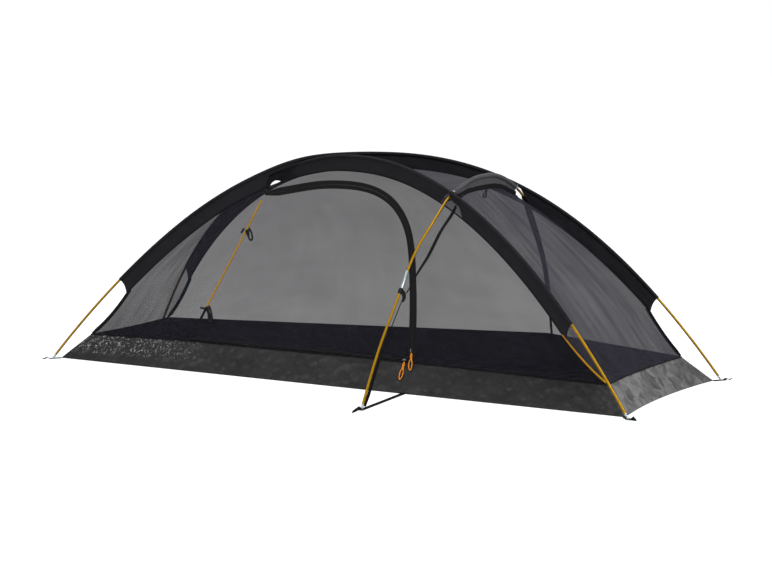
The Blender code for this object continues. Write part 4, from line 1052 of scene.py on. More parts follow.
hinge_flat = hinge_point(np.linspace(0, 1, 60))[:, [0, 2]]
arch = smooth(np.array(ZIP_ARCH) * (1, RIDGE_HEIGHT), 120)
doorway = np.concatenate([hinge_flat, arch, [[arch[-1, 0], SILL_Z]]])
front_edge = wall_edge(FRONT)
door_top = share_at(doorway, hinge_flat[-1])
OVER_DOOR, SHOULDER, OUTER_SHOULDER = (HINGE_TOP_X, 0.60), (0.18, 0.598), (0.30, 0.66)
inner_marks = (0, door_top, share_at(doorway, SHOULDER), 1)
outer_marks = (0, share_at(front_edge, OVER_DOOR), share_at(front_edge, OUTER_SHOULDER), 1)
grid = ruled(doorway, front_edge, 40, 360, inner_marks, outer_marks)
cloth("front_wall", on_wall(grid), NETTING_WALL, "tent", ["front_mesh"])

sill = np.stack([np.linspace(arch[-1, 0], HINGE_LOW_X + 0.004, 60), np.full(60, SILL_Z + 0.004)], -1)
free = np.concatenate([arch, sill])
grid = ruled(hinge_flat[::-1], free, 60, 200, (0, 1), (0, 1))
cloth("door", on_wall(grid), NETTING_WALL, "door", ["door_mesh"])


def end_hollow(x):
    """How far an end panel bends in, from none at the band's end to the rim's own hollow."""
    top = abs(RIDGE_SEAMS[BACK][-1, 0])
    return np.sign(x) * RIM_END_HOLLOW * np.clip((np.abs(x) - top) / (RIM_X - top), 0, 1) ** 2


PANEL_COLUMNS, PANEL_ROWS = 120, 64


def between_seams(start, end):
    """Grid between the ridge seams, crowned across. A missing bound is the hood's seam."""
    share = np.sin(np.linspace(-math.pi / 2, math.pi / 2, PANEL_ROWS))[:, None]
    first, last = (hoop_x(share) if bound is None else bound + 0 * share for bound in (start, end))
    x = first + (last - first) * np.linspace(0, 1, PANEL_COLUMNS)
    seam = seam_at(x)
    z = seam[..., 2] + crown(x) * arch_share(share)
    return np.stack([x - end_hollow(x) * (1 - share ** 2), seam[..., 1] * share, z], -1)


grid = between_seams(-RIM_X, MEETING_X - SHORT_OF_MEETING)
cloth("foot_end", grid, NETTING_FOOT, "tent", ["foot_end_mesh"])
grid = between_seams(MEETING_X + SHORT_OF_MEETING, None)
cloth("roof", grid, ROOF_CLOTH, "tent", ["roof_panel"],
      THIN_SHEET)
cloth("head_end", between_seams(None, RIM_X), NETTING_HEAD, "tent", ["head_end_mesh"])

# %% [markdown]
# ## Sleeves
#
# A sleeve is one strip of cloth folded over the pole and sewn to itself and to the seam below.
# Seen in section it is a drop: a round tunnel whose two sides run together into the band. Where
# another pole has to pass under the tunnel, the band is cut away and only a hemmed lip is left,
# so white shows through such a window.

# %% Bands on the ridge poles
TUNNEL_SIDES, BAND_ROWS = 22, 9
RIPPLE = 0.0012


def drop_section(points, feet, bore, full=1.0, run=None, ripple=0.0, lip=WINDOW_LIP):
    """Rings of a sleeve: up one face of the band, round the pole and down the other face.

    Full is 1 where the band has its whole width and 0 in a window, where only its lip is left.
    Run moves the band's foot along its hem, in proportion to the square of the way down, which
    hollows the sleeve's end.
    """
    along = tangents(points)
    down = feet - points
    first = unit(down - along * (along * down).sum(-1, keepdims=True))
    second = np.cross(along, first)
    radius = bore / 2 + CLOTH / 2
    full, lip = (np.broadcast_to(value, (len(points),))[:, None] for value in (full, lip))
    bottom = points + radius * first
    low = full * feet + (1 - full) * (bottom + (CLOTH / 2 + lip) * first)
    moved = np.zeros_like(points) if run is None else run * full
    t = np.linspace(0, 1, BAND_ROWS)[:, None, None]
    wave = ripple * np.sin(lengths(points) * 70 + 3 * np.sin(lengths(points) * 17))[:, None]
    band = bottom + (low - bottom) * t + moved * t ** 2 + second * wave * (4 * t * (1 - t)) * full
    lean = 0.10
    turn = np.linspace(lean, 2 * math.pi - lean, TUNNEL_SIDES)[:, None, None]
    tunnel = points + radius * (np.cos(turn) * first + np.sin(turn) * second)
    half = second * CLOTH / 2
    return np.concatenate([(band + half)[:0:-1], tunnel, (band - half)[1:]])


def lens(x):
    """The slit beside the crossing: a half sine between its ends, made blunter by a root."""
    share = np.clip((x - LENS_WINDOW[0]) / (LENS_WINDOW[1] - LENS_WINDOW[0]), 0, 1)
    return np.sin(math.pi * share).clip(0) ** 0.7


def band_fullness(x, side):
    """1 where a ridge sleeve has its band, 0 in its windows, straight between their corners."""
    if side == BACK:
        return np.interp(x, OVER_WINDOWS, (1, 0, 0, 1) * 2)
    return np.interp(x, UNDER_WINDOW, (1, 0, 0, 1)) - 0.62 * lens(x)


def band_lip(x, side):
    """Width left along a window's upper edge, notched by a bell curve where a pole passes."""
    wide = {FRONT: 0.016, BACK: 0.004}[side]
    hoop = wide * (1 - np.exp(-((x - AWNING_CROSSING_X[side]) / 0.013) ** 2))
    crossing = np.interp(x, (-0.294, -0.288), (0.008, 0.0024))
    return np.maximum(np.where(x < 0, crossing, hoop), WINDOW_LIP)


def sleeve_stations(side):
    """Even stations, and one at each corner of a window so that its edges stay straight."""
    corners = np.array(OVER_WINDOWS if side == BACK else (*UNDER_WINDOW, *LENS_WINDOW))
    return np.unique(np.concatenate([np.linspace(-BAND_END_X, BAND_END_X, 460), corners]))


def ridge_sleeve(name, side, nodes):
    """A ridge pole's sleeve. At both ends a square of x draws the band out along the hem."""
    x = sleeve_stations(side)
    feet = seam_below(x, side)
    first, last = corner_seam(-1, -side, 60), corner_seam(1, side, 60)[::-1]
    hem = np.concatenate([first[:-1], feet, last[1:]])
    measure = lengths(hem)
    at = measure[59:59 + len(x)]
    share = x / BAND_END_X
    reach = HEM_RUN * np.clip((np.abs(share) - 0.94) / 0.06, 0, 1) ** 2 * np.sign(share)
    run = along_line(hem, at + reach, measure) - feet
    grid = drop_section(ridge_pole(x, side), feet, TUNNEL_BORE, band_fullness(x, side), run, RIPPLE,
                        band_lip(x, side))
    return cloth(name, grid, SLEEVE_CLOTH, "tent", nodes, THIN_SHEET)


ridge_sleeve("ridge_sleeve_over", BACK, ["ridge_over_sleeve"])
ridge_sleeve("ridge_sleeve_under", FRONT, ["ridge_under_sleeve"])
x = np.linspace(LENS_WINDOW[0] - 0.006, LENS_WINDOW[1] + 0.006, 30)
feet = seam_below(x, FRONT)
grid = between(feet, ridge_pole(x, FRONT), 5, 0.21)
cloth("slit_hem", grid, SLEEVE_CLOTH, "tent", [], THIN_SHEET)

# %% [markdown]
# ## Hood and rear sleeve
#
# The hood is a band of paler cloth that holds the awning pole over the roof. The same drop
# section makes it, with the roof's own cross profile as its lower edge. A thin pale piping goes
# round its open end at the back and over the top of the one at the front. Behind the tent a
# sleeve holds the pole's rear leg to the back wall, with a short cap above it.

# %% Hood over the awning pole, its piping, and the sleeve down the back


def hoop_seam_at(y):
    """The seam under the hood at places in y: the roof's own cross profile."""
    share = y / seam_at(np.array([HOOP_X]))[0, 1]
    x = hoop_x(share)
    seam = seam_at(x)
    return np.stack([x, seam[:, 1] * share, seam[:, 2] + crown(x) * arch_share(share)], -1)


y = np.linspace(-HOOD_HALF_WIDTH, HOOD_HALF_WIDTH, 120)
over_top = AWNING[np.abs(AWNING[:, 1]) < 0.245]
line, feet = along_line(over_top, y, over_top[:, 1]), hoop_seam_at(y)
grid = drop_section(line, feet, HOOD_BORE, ripple=RIPPLE)
cloth("hood", grid, HOOD_CLOTH, "tent", ["hood_band"], THIN_SHEET)
tape("hood_hem_band", feet + 0.0070 * unit(line - feet), 0.014, 0.0052, (1.0, 0, 0))
for name, ends in (("front", grid[BAND_ROWS + 5:BAND_ROWS + 14, :2]), ("back", grid[:, -2:])):
    centre = ends.mean(0)
    piping = surface(f"hood_piping_{name}", ends + unit(ends - centre) * 0.0010, PIPING, THIN_SHEET)
    wear(piping, "tent", [])

behind = AWNING[AWNING[:, 1] > float(ridge_pole(HOOP_X, BACK, False)[1]) + 0.01]
high = min(REAR_SLEEVE_SPAN[1] * behind[0, 2], behind[0, 2] - 0.03)
for name, heights, nodes in (
        ("rear_leg_sleeve", np.linspace(high, REAR_SLEEVE_SPAN[0] * behind[0, 2], 80), ["rear_sleeve"]),
        ("rear_leg_cap", np.linspace(behind[0, 2] - 0.004, high, 24), [])):
    line = along_line(behind[::-1], heights, behind[::-1, 2])
    grid = drop_section(line, on_wall(line[:, [0, 2]], BACK, 0.0015), HOOD_BORE)
    cloth(name, grid, SLEEVE_CLOTH, "tent", nodes, THIN_SHEET)

# %% [markdown]
# ## Poles
#
# Each pole is an aluminium tube of 8.5 mm, anodised gold, swept along its own smooth line. Its
# ends carry turned tips of bare metal with a nose that stands in the web's eyelet, and short
# sleeves of bare metal, the ferrules, join the awning pole's sections.

# %% Tubes, tips and ferrules


def pole(name, line, facing, node_name):
    """A gold tube along a line, without the length of its tips."""
    total = lengths(line)[-1]
    middle = cut(line, TIP_LENGTH, total - TIP_LENGTH, 320)
    return wear(cord(name, middle, 2 * POLE_RADIUS, GOLD, facing, 20), "tent", [node_name])


def tip(name, line, facing, node_name):
    """A turned tip: radius by distance from its end, with a round nose, a neck and a collar."""
    marks = np.array([0.0, 0.0004, 0.0012, 0.0055, 0.0062, 0.0072, 0.0080, 0.0140, 0.0146, 0.0152, 0.0177])
    radii = np.array([1.6, 2.4, 2.9, 2.9, 2.5, 2.5, 4.1, 4.1, 3.7, 4.2, 4.2]) / 1000
    return wear(cord(name, along_line(line, marks, lengths(line)), 2 * radii, SILVER, facing, 20), "tent",
                [node_name])


for name, line, facing, ends in (
        ("ridge_over", RIDGES[1], UP, ("foot", "head")), ("ridge_under", RIDGES[-1], UP, ("foot", "head")),
        ("awning", AWNING, (1.0, 0, 0), ("front", "rear"))):
    pole(f"{name}_pole", line, facing, f"{name}_tube")
    for end, route in zip(ends, (line, line[::-1])):
        tip(f"{name}_pole_tip_{end}", route, facing, f"{name}_tip_{end}")

for number, joint in enumerate(AWNING_JOINTS, 1):
    half = FERRULE_LENGTH / 2
    rims = half - np.array([0, 0.0006, 0.0016, 0.0022])
    offsets = np.concatenate([-rims, [0], rims[::-1]])
    radii = np.array([4.6, 5.2, 5.2, 5.0, 5.0, 5.0, 5.2, 5.2, 4.6]) / 1000
    line = along_line(AWNING, joint + offsets, lengths(AWNING))
    wear(cord(f"ferrule_{number}", line, 2 * radii, SILVER, (1.0, 0, 0), 20), "tent",
         [f"awning_ferrule_{number}"])

# %% [markdown]
# ## Bindings and tapes
#
# Every seam is bound with a narrow black tape folded over the raw edges. One seam at the head end
# and the upper part of the door's hinge have a gold cord in place of the tape. The zip runs
# between two tapes with a coil of teeth along their meeting edges.

# %% Seams along the rim and the ridges


def binding(name, points, diameter, node_name, material=TAPE):
    """A seam's tape, or the gold cord in its place, as a thin round tube."""
    return wear(cord(name, points, diameter, material, (0.1, 0.3, 0.9), 10), "tent", [node_name])


shares = np.linspace(-1, 1, 160)
rim = np.concatenate([rim_side(RIM_X * shares, FRONT)[:-1], rim_end(1, shares[::2])[:-1],
                      rim_side(RIM_X * shares, BACK)[:0:-1], rim_end(-1, shares[::2])[:0:-1]])
wear(loop("rim_tape", rim, BINDING, TAPE), "tent", ["rim_binding"])

TRIM = 0.009
whole = np.concatenate([corner_seam(-1, FRONT)[:-1], RIDGE_SEAMS[1], corner_seam(1, BACK)[::-1][1:]])
other = RIDGE_SEAMS[-1]
foot_seam = np.concatenate([corner_seam(-1, BACK)[:-1],
                            other[other[:, 0] < MEETING_X - SHORT_OF_MEETING]])
head_seam = other[other[:, 0] > MEETING_X + SHORT_OF_MEETING]
for name, seam, start, short, count in (("long", whole, TRIM, TRIM, 420), ("foot", foot_seam, TRIM, 0, 160),
                                        ("head", head_seam, 0, 0, 300)):
    line = cut(seam, start, lengths(seam)[-1] - short, count)
    binding(f"seam_tape_{name}", line, BINDING, f"ridge_seam_{name}")
for end, side, name in ((-1, FRONT, "foot_front"), (-1, BACK, "foot_back"), (1, BACK, "head_back")):
    edge = corner_seam(end, side, 60)
    edge = cut(edge, 0.005, lengths(edge)[-1], 60)
    width = np.interp(np.linspace(0, 1, 60), (0, 0.10, 1), (0.006, 0.013, 0.012))
    tape(f"corner_tape_{name}", edge, width, 0.0050, (0, side, 0.3))
corner = corner_seam(1, FRONT, 80)
corner = cut(corner, TRIM, lengths(corner)[-1] - 0.002, 80)
swell = np.linspace(1.45, 0.95, 80) * BINDING
binding("corner_gold_cord", corner, swell, "corner_cord", GOLD_CORD)
half_seam = seam_at(np.array([HOOP_X]))[0, 1] - 0.004
y = half_seam * np.sin(np.linspace(-math.pi / 2, math.pi / 2, 90))
binding("hood_hem", hoop_seam_at(y), 0.0052, "hoop_seam")

# %% [markdown]
# ## Hinge and zip
#
# The door turns on a straight seam, black webbing at its foot and gold cord above it, and the
# zip runs round its other edges. A zip tape is five lines side by side, each the zip's own line
# moved sideways in the (x, z) plane and laid on the wall, so it has the wall's own bend. Both
# tapes start narrow at the top of the hinge.

# %% Hinge and zip
low = hinge_point(np.linspace(0.012, GOLD_HINGE_SHARE - 0.001, 60))
tape("hinge_tape_low", low, 0.0085, 0.0030, (0, -1, 0.25), ["hinge_tape"], material=WEBBING)
upper_hinge = hinge_point(np.linspace(GOLD_HINGE_SHARE, 1, 200))
binding("hinge_gold_cord", upper_hinge, 0.0062, "hinge_cord", GOLD_CORD)

ZIP_LOW = SILL_Z + 0.0065
ZIP_TAPE_GAP, ZIP_TAPER, ZIP_TAPER_RUN = 0.0002, 0.35, 0.05
FRAME_TAPE_WIDTH, DOOR_TAPE_WIDTH, SILL_TAPE_WIDTH, ZIP_TAPE_THICKNESS = 0.0136, 0.0134, 0.0060, 0.0010
frame_line = np.concatenate([arch, np.stack([np.full(20, arch[-1, 0]),
                                             np.linspace(arch[-1, 1], SILL_Z + 0.003, 21)[1:]], -1)])
ease = np.interp(lengths(frame_line), (0, ZIP_TAPER_RUN), (ZIP_TAPER, 1.0))
strips = [beside(frame_line, ZIP_TAPE_GAP + FRAME_TAPE_WIDTH * ease * t) for t in np.linspace(0, 1, 5)]
grid = on_wall(np.stack(strips), FRONT, ZIP_TAPE_GAP)
zip_outer = surface("zip_tape_outer", grid, ZIP_TAPE, ZIP_TAPE_THICKNESS)
wear(zip_outer, "tent", ["zip_tape_frame"])

centre = np.array([arch[-1, 0] - ZIP_CORNER_RADIUS, ZIP_LOW + ZIP_CORNER_RADIUS])
angle = np.linspace(0, math.pi / 2, 14)[:, None]
bend = centre + ZIP_CORNER_RADIUS * np.concatenate([np.cos(angle), -np.sin(angle)], 1)
sill_run = np.stack([np.linspace(centre[0] - 0.012, HINGE_LOW_X + 0.020, 130), np.full(130, ZIP_LOW)], -1)
door_line = np.concatenate([arch, bend, sill_run])
past = lengths(door_line) - lengths(arch)[-1]
ease = np.interp(lengths(door_line), (0, ZIP_TAPER_RUN), (ZIP_TAPER, 1))
wide = np.interp(past, (0, 2 * ZIP_CORNER_RADIUS), (DOOR_TAPE_WIDTH, SILL_TAPE_WIDTH)) * ease
strips = [beside(door_line, -ZIP_TAPE_GAP - wide * t) for t in np.linspace(0, 1, 5)]
grid = on_wall(np.stack(strips), FRONT, ZIP_TAPE_GAP)
zip_inner = surface("zip_tape_inner", grid[:, ::-1], ZIP_TAPE, ZIP_TAPE_THICKNESS)
wear(zip_inner, "door", ["zip_tape_door"])

# %% [markdown]
# ## Webbing at the feet
#
# Each foot stands in an eyelet of a short black web that is sewn to the floor's corner and runs
# on in a point to pull by. The web is a plate whose inner edge is the eyelet's circle and whose
# outer edge is its outline, with straight spokes between, so it needs no cutting.

# %% Webs with an eyelet
TAIL_TWIST = 1.2
GROUND_STRAP_X = 0.312


def web_plate(name, start, foot, tail, node_name, twist=0.0, aim=None, tip_half=0.0022):
    """Spokes from the eyelet to a convex outline: the least distance to its edges each way.

    Past the eyelet the tail lies in a wave if it has no twist. If it has one, it turns on edge:
    its width goes to the left by the twist's cosine and up by its sine, and stays off the ground.
    """
    start, foot = np.asarray(start, float), np.asarray(foot, float)
    ahead = unit(foot - start)
    left = np.array([-ahead[1], ahead[0]])
    aim = ahead if aim is None else unit(np.asarray(aim, float))
    back = np.linalg.norm(foot - start)
    half, shoulder, eyelet = 0.009, 0.018, 0.0048
    corners = np.array([(-back, -half), (shoulder, -half), (tail, -tip_half), (tail, tip_half),
                        (shoulder, half), (-back, half)])
    edges = np.roll(corners, -1, 0) - corners
    normals = unit(np.stack([edges[:, 1], -edges[:, 0]], -1))
    reach = (corners * normals).sum(1)
    aims = np.arctan2(corners[:, 1], corners[:, 0])
    angle = np.sort(np.concatenate([np.linspace(-math.pi, math.pi, 72, endpoint=False), aims]))
    way = np.stack([np.cos(angle), np.sin(angle)], -1)
    facing = way @ normals.T
    far = np.where(facing > 1e-6, reach / np.maximum(facing, 1e-6), np.inf).min(1)
    share = np.linspace(0, 1, 14)[:, None]
    flat = way * (eyelet + (far - eyelet) * share)[..., None]
    past = np.clip(flat[..., 0] - 0.011, 0, None)
    turned = twist * np.clip(past / 0.014, 0, 1)
    half_there = np.interp(flat[..., 0], (shoulder, tail), (half, tip_half))
    wave = 0.0022 * (1 - np.cos(past * 2 * math.pi / 0.022)) * (twist == 0)
    height = 0.0009 + wave + (half_there + flat[..., 1]) * np.sin(turned)
    forward = (flat[..., 0] - past)[..., None] * ahead + past[..., None] * aim
    sideways = (flat[..., 1] * np.cos(turned))[..., None] * left
    points = np.concatenate([foot + forward + sideways, height[..., None]], -1)
    rows, columns = points.shape[:2]
    made = solid(name, points.reshape(-1, 3), quads(rows, columns, True), WEBBING, flat.reshape(-1, 2))
    thicken(made, 0.0014)
    wear(made, "tent", [node_name])
    turn = np.linspace(0, 2 * math.pi, 40, endpoint=False)[:, None]
    ring = np.concatenate([foot + 0.0056 * (np.cos(turn) * ahead + np.sin(turn) * left),
                           np.full((40, 1), 0.0018)], 1)
    return wear(loop(f"{name}_eyelet", ring, 0.0018, SILVER), "tent", [])


for end, end_name in ((-1, "foot"), (1, "head")):
    for side, side_name in ((FRONT, "front"), (BACK, "back")):
        corner = np.array([end * HALF_LENGTH, side * floor_half_width(end * HALF_LENGTH)])
        line = RIDGES[side * end]
        stand = (line[0] if end < 0 else line[-1])[:2]
        seen = end == 1 and side == FRONT
        web_plate(f"web_{end_name}_{side_name}", corner, stand, 0.042, f"corner_web_{end_name}_{side_name}",
                  TAIL_TWIST * seen, (0.93, -0.37) if seen else None)
web_plate("web_awning_rear", (REAR_FOOT_X, floor_half_width(REAR_FOOT_X) + 0.002), AWNING[-1, :2], 0.040,
          "awning_web_rear")
web_plate("web_awning_front", (GROUND_STRAP_X, -floor_half_width(GROUND_STRAP_X) - 0.002), AWNING[0, :2],
          0.066, "awning_ground_strap", TAIL_TWIST, tip_half=0.0045)

# %% [markdown]
# ## Straps on the awning pole
#
# A strap comes out from under the ridge sleeve's tunnel, lies over the seam and runs down to a
# clip on the pole. Below the clip it goes on as a thin cord and widens into a web that ends at
# the pole's foot.

# %% Upper strap, clip and lower strap


CLIP_LENGTH = 0.018
seam = seam_at(np.array([HOOP_X - 0.005]))[0] * (1, FRONT, 1)
under_lip = seam_at(np.array([HOOP_X + 0.010]))[0] * (1, FRONT, 1)
above = ridge_pole(HOOP_X + 0.010, BACK, False) * (1, FRONT, 1)
start = seam + 0.0045 * unit((0, -1.0, -0.6))
high = under_lip + 0.52 * (above - under_lip) + (0, -0.0050, 0)
upper = smooth([high, start, (0.428, -0.302, 0.535), (0.411, -0.366, 0.452), (0.400, -0.410, 0.407),
                (0.393, -0.448, 0.366), (0.3925, -0.472, 0.348)], 90)
width = np.interp(upper[:, 2], (0.392, 0.410, 0.470), (0.0042, 0.0090, 0.0115))
tape("upper_strap", upper, width, STRAP_THICKNESS, (0, -1, 0.6), ["awning_strap"])

clip_top = AWNING_JOINTS[0] - FERRULE_LENGTH / 2 - GAP
foot_top = clip_top - CLIP_LENGTH
stretch = cut(AWNING, foot_top, clip_top, 20)
bulge = (5.6, 6.8, 7.2, 7.2, 6.8, 5.6)
collar = np.interp(np.linspace(0, 1, 20), (0, 0.08, 0.16, 0.84, 0.92, 1), bulge) / 500
wear(cord("clip_collar", stretch, collar, PLASTIC, (1.0, 0, 0), 24), "tent", ["pole_clip"])
arm_start = stretch.mean(0) + (0.002, 0.003, 0.004)
arm = smooth([arm_start, (0.3905, -0.4840, 0.3430), (0.3885, -0.4880, 0.3210)], 24)
taper = np.interp(np.linspace(0, 1, 24), (0, 0.3, 0.7, 1), (0.009, 0.014, 0.011, 0.004))
wear(strap("clip_arm", arm, taper, 0.0045, (0.45, -0.85, 0.2), PLASTIC), "tent", [])

low = cut(AWNING, 0.012, foot_top - 0.012, 160)
along = tangents(low)
to_tent = np.array([0.35, 1.0, 0.0])
inward = unit(to_tent - along * (along @ to_tent)[:, None])
share = np.linspace(0, 1, 160)
away = np.interp(share, (0, 0.10, 0.50, 0.62, 1), (0.0080, 0.0125, 0.0140, 0.0175, 0.0195))
width = np.interp(share, (0, 0.60, 0.70, 1), (0.0145, 0.0135, 0.0036, 0.0032))
tape("lower_strap", low + away[:, None] * inward, width, STRAP_THICKNESS, inward, ["pole_strap"])

# %% [markdown]
# ## Small fittings
#
# Two sliders with looped cord pulls sit where the zip turns the corner at the sill. Two toggles
# with elastic loops hold the rolled door, a small black hook hangs inside for a lamp, and a
# blank woven tag is sewn to the sill. Each is a few swept lines, most of them taken from the
# places of the solids that they stand for.

# %% Sliders and pulls


def corners_of(name):
    """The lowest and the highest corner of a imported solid's box."""
    return [np.array(corner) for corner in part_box(name)]


def centre_of(name):
    """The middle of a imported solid's box."""
    low, high = corners_of(name)
    return (low + high) / 2


def slider(name, body, node_name, heading):
    """A zip slider: a waisted body along the zip, and a bridge over it that holds the pull."""
    centre = centre_of(node_name)
    ahead = unit(heading)
    step = np.linspace(-0.0070, 0.0070, 24)
    wide = 0.0095 * (0.80 + 0.20 * np.cos(step * 2 * math.pi / 0.014 + 0.6))
    base = wear(strap(name, centre + step[:, None] * ahead, wide, 0.0034, (0, -1, 0.25), BLACK_METAL), body,
                [node_name])
    angle = np.linspace(0, math.pi, 16)[:, None]
    outward = unit((0, -1, 0.25))
    arc = centre + (0, -0.0010, 0.0004) + 0.0045 * np.cos(angle) * ahead + 0.0042 * np.sin(angle) * outward
    wear(cord(f"{name}_bridge", arc, 0.0016, SILVER, (1.0, 0.2, 0.3)), body, [])
    return base


side_heading = np.array([arch[-3, 0] - arch[-1, 0], 0.0, arch[-3, 1] - arch[-1, 1]])
slider("slider_upright", "side_slider", "slider_side", side_heading + (0, 0.02 * abs(side_heading[2]), 0))
slider("slider_level", "sill_slider", "slider_sill", (-1.0, 0, 0))


KNOT_DROP = 0.017


def pull(name, body, node_name, lean):
    """A doubled cord: a narrow loop from the slider, a knot, and a wider loop below it."""
    low, high = corners_of(node_name)
    middle = (low + high) / 2
    top = np.array([middle[0], low[1] + 0.3 * (high[1] - low[1]), high[2]])
    angle = np.linspace(0, 2 * math.pi, 60, endpoint=False)
    drop = (high[2] - low[2] + 0.009) / 2 * (1 - np.cos(angle))
    waist = 1 - 0.8 * np.exp(-((drop - KNOT_DROP) / 0.006) ** 2)
    across = 0.0062 * np.sin(angle) * (0.85 - 0.35 * np.cos(angle)) * waist
    out = np.interp(drop, (0, drop.max()), (high[1] - 0.002, low[1] - 0.007))
    points = np.stack([top[0] + across + lean * drop, out, top[2] - drop], -1)
    wear(loop(name, points, 0.0032, ORANGE_CORD, 12), body, [node_name])
    at = points[np.abs(drop - KNOT_DROP).argmin()]
    turn = np.linspace(0, 2.5 * 2 * math.pi, 60)
    knot = np.stack([at[0] + 0.0026 * np.cos(turn), at[1] + 0.0024 * np.sin(turn),
                     at[2] + 0.0030 - 0.0060 * turn / turn[-1]], -1)
    wear(cord(f"{name}_knot", knot, 0.0024, ORANGE_CORD, UP, 10), body, [])


pull("cord_pull_side", "side_pull", "pull_side", 0.10)
pull("cord_pull_sill", "sill_pull", "pull_sill", 0.06)

# %% [markdown]
# ## Toggles, hook and tag
#
# The toggles and the hook move on joints of their own, so each rides on its own body. The
# elastic loops and the patches under them are sewn to the door and ride on it.

# %% Toggles, loops, hook and tag


def rod(name, node_name, body, direction, length, diameter):
    """A toggle: a rounded bar with a waist, where its elastic is tied."""
    centre = centre_of(node_name) + (-0.005, -0.001, -0.006)
    s = np.linspace(-1, 1, 28)
    profile = diameter * np.sqrt(np.maximum(1 - np.abs(s) ** 6, 0.02)) * (1 - 0.22 * np.exp(-(s / 0.22) ** 2))
    line = centre + s[:, None] * unit(direction) * length / 2
    return wear(cord(name, line, profile, PLASTIC, (0, -1, 0.1), 14), body, [node_name])


for level, share, body in (("upper", 0.785, "upper_toggle"), ("lower", 0.235, "lower_toggle")):
    aim = (-0.62, 0, -0.78) if level == "upper" else (1.0, 0, -0.1)
    rod(f"toggle_bar_{level}", f"toggle_{level}", body, aim, 0.022, 0.0075)
    low, high = corners_of(f"tie_loop_{level}")
    angle = np.linspace(0, 2 * math.pi, 48, endpoint=False)
    middle, reach = (low + high) / 2, (high - low - 0.0024) / 2
    flat = np.stack([middle[0] + reach[0] * np.sin(angle) * (1 - 0.45 * np.cos(angle)),
                     middle[2] + reach[2] * np.cos(angle)], -1)
    flat[:, 0] += 0.40 * (high[2] - flat[:, 1])
    elastic = loop(f"elastic_loop_{level}", on_wall(flat, FRONT, 0.0040), 0.0062, ELASTIC)
    wear(elastic, "door", [f"tie_loop_{level}"])
    at = hinge_point(share)
    run = (0.017, -0.021) if level == "upper" else (0.038, -0.050)
    t = np.linspace(0.12, 1, 24)[:, None]
    patch = on_wall(at[[0, 2]] + np.concatenate([run[0] * t, run[1] * t ** 1.4], 1), FRONT, 0.0052)
    width = np.interp(t[:, 0], (0.12, 0.30, 1), (0.008, 0.011, 0.010 if level == "upper" else 0.015))
    tape(f"tie_patch_{level}", patch, width, STRAP_THICKNESS, (0, -1, 0.2), body="door")

low, high = corners_of("lamp_hook")
top = np.array([high[0] - 0.0013, (low[1] + high[1]) / 2, high[2]])
shank = np.array([(0, 0), (-0.001, -0.008), (-0.001, -0.019)])
angle = np.linspace(0, 1.45 * math.pi, 26)
bend = np.stack([-0.001 + 0.0050 * (np.cos(angle) - 1), -0.019 - 0.0065 * np.sin(angle)], -1)
flat = smooth(np.concatenate([shank, bend[1:]]), 70)
hook = top + np.column_stack([flat[:, 0], np.zeros(len(flat)), flat[:, 1]])
hook = cord("lamp_hook_wire", hook, np.linspace(0.0078, 0.0048, 70), PLASTIC, (0, 1, 0), 12)
wear(hook, "lamp_hook", ["lamp_hook"])

TAG_SPAN, TAG_Z = (0.351, 0.381), 0.0935
tag = on_wall(np.stack([np.linspace(*TAG_SPAN, 12), np.full(12, TAG_Z)], -1), FRONT, 0.0016)
tape("sill_tag", tag, 0.009, 0.0008, (0, -1, 0.3))

for name in ("ridge_over_shock_cord", "ridge_under_shock_cord", "awning_shock_cord"):
    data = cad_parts[name].data
    data.materials.clear()
    data.materials.append(RUBBER)

# %% [markdown]
# ## Camera and light
#
# The camera was fitted to the photograph: it stands low and far off to the right of the door,
# with a long lens, so the tent's far end is hardly smaller than its near one.

# %% Camera, lamps and a white studio
CAMERA_AT = np.array([3.6646, -6.4848, 1.2525])
YAW, PITCH, FOCAL_PIXELS = -0.507737, 0.129641, 2194.8
ahead = np.array([math.sin(YAW) * math.cos(PITCH), math.cos(YAW) * math.cos(PITCH), -math.sin(PITCH)])
right = np.array([math.cos(YAW), -math.sin(YAW), 0.0])
SENSOR_WIDTH, PHOTO_WIDTH = 36.0, 772


def set_up(thing, axes, at):
    """Put an object into the scene: its three axes are a matrix's columns, and its place is at."""
    thing.matrix_world = Matrix([[*axes[i], at[i]] for i in range(3)] + [[0, 0, 0, 1]])
    bpy.context.scene.collection.objects.link(thing)


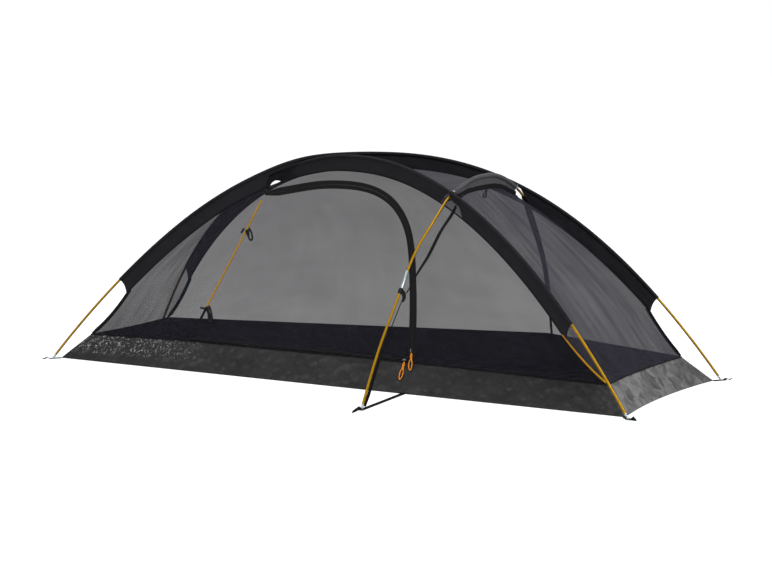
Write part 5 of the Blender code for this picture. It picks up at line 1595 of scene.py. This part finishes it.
optics = bpy.data.cameras.new("camera")
optics.sensor_width = SENSOR_WIDTH
optics.lens = SENSOR_WIDTH * FOCAL_PIXELS / PHOTO_WIDTH
camera = bpy.data.objects.new("camera", optics)
set_up(camera, np.stack([right, np.cross(right, ahead), -ahead], 1), CAMERA_AT)
bpy.context.scene.camera = camera


def lamp(name, at, towards, size, power):
    """A round lamp that shines from one place towards another."""
    data = bpy.data.lights.new(name, "AREA")
    data.shape, data.size, data.energy = "DISK", size, power
    back = unit(np.subtract(at, towards))
    side = unit(np.cross(UP, back))
    set_up(bpy.data.objects.new(name, data), np.stack([side, np.cross(back, side), back], 1), at)


lamp("key", (4.5, -2.0, 4.0), (0, 0, 0.3), 2.5, 330)
lamp("fill", (-2.5, -5.0, 3.0), (0, 0, 0.3), 3.0, 150)
lamp("top", (0.0, 1.0, 5.0), (0, 0, 0.3), 3.5, 200)

scene = bpy.context.scene
scene.view_settings.view_transform = "Standard"
world = bpy.data.worlds.new("studio")
scene.world = world
world.use_nodes = True
tree = world.node_tree
tree.nodes.clear()
seen = node(tree, "ShaderNodeLightPath", out=0)
mirrored = node(tree, "ShaderNodeLightPath", out="Is Glossy Ray")
passed = node(tree, "ShaderNodeLightPath", out="Is Transmission Ray")
level = (seen + mirrored + passed).clamped() * 0.5 + 0.5
background = node(tree, "ShaderNodeBackground", {"Color": grey(1.0), "Strength": level})
output = tree.nodes.new("ShaderNodeOutputWorld")
tree.links.new(background.socket, output.inputs[0])

FLOOR_REACH, FLOOR_Z = 30, -0.0008
corners = [(x * FLOOR_REACH, y * FLOOR_REACH, FLOOR_Z) for x, y in ((-1, -1), (1, -1), (1, 1), (-1, 1))]
floor = solid("studio_floor", corners, [(0, 1, 2, 3)],
              finish("studio_white", lambda tree: {}, Base_Color=grey(0.85), Roughness=0.9))
tree = floor.data.materials[0].node_tree
glow = node(tree, "ShaderNodeEmission", {"Color": grey(1.0), "Strength": 1.3})
seen = node(tree, "ShaderNodeLightPath", out=0)
lit = Wire(tree, tree.nodes["Principled BSDF"].outputs[0])
both = node(tree, "ShaderNodeMixShader", [seen * 0.70, lit, glow])
tree.links.new(both.socket, tree.nodes["Material Output"].inputs[0])
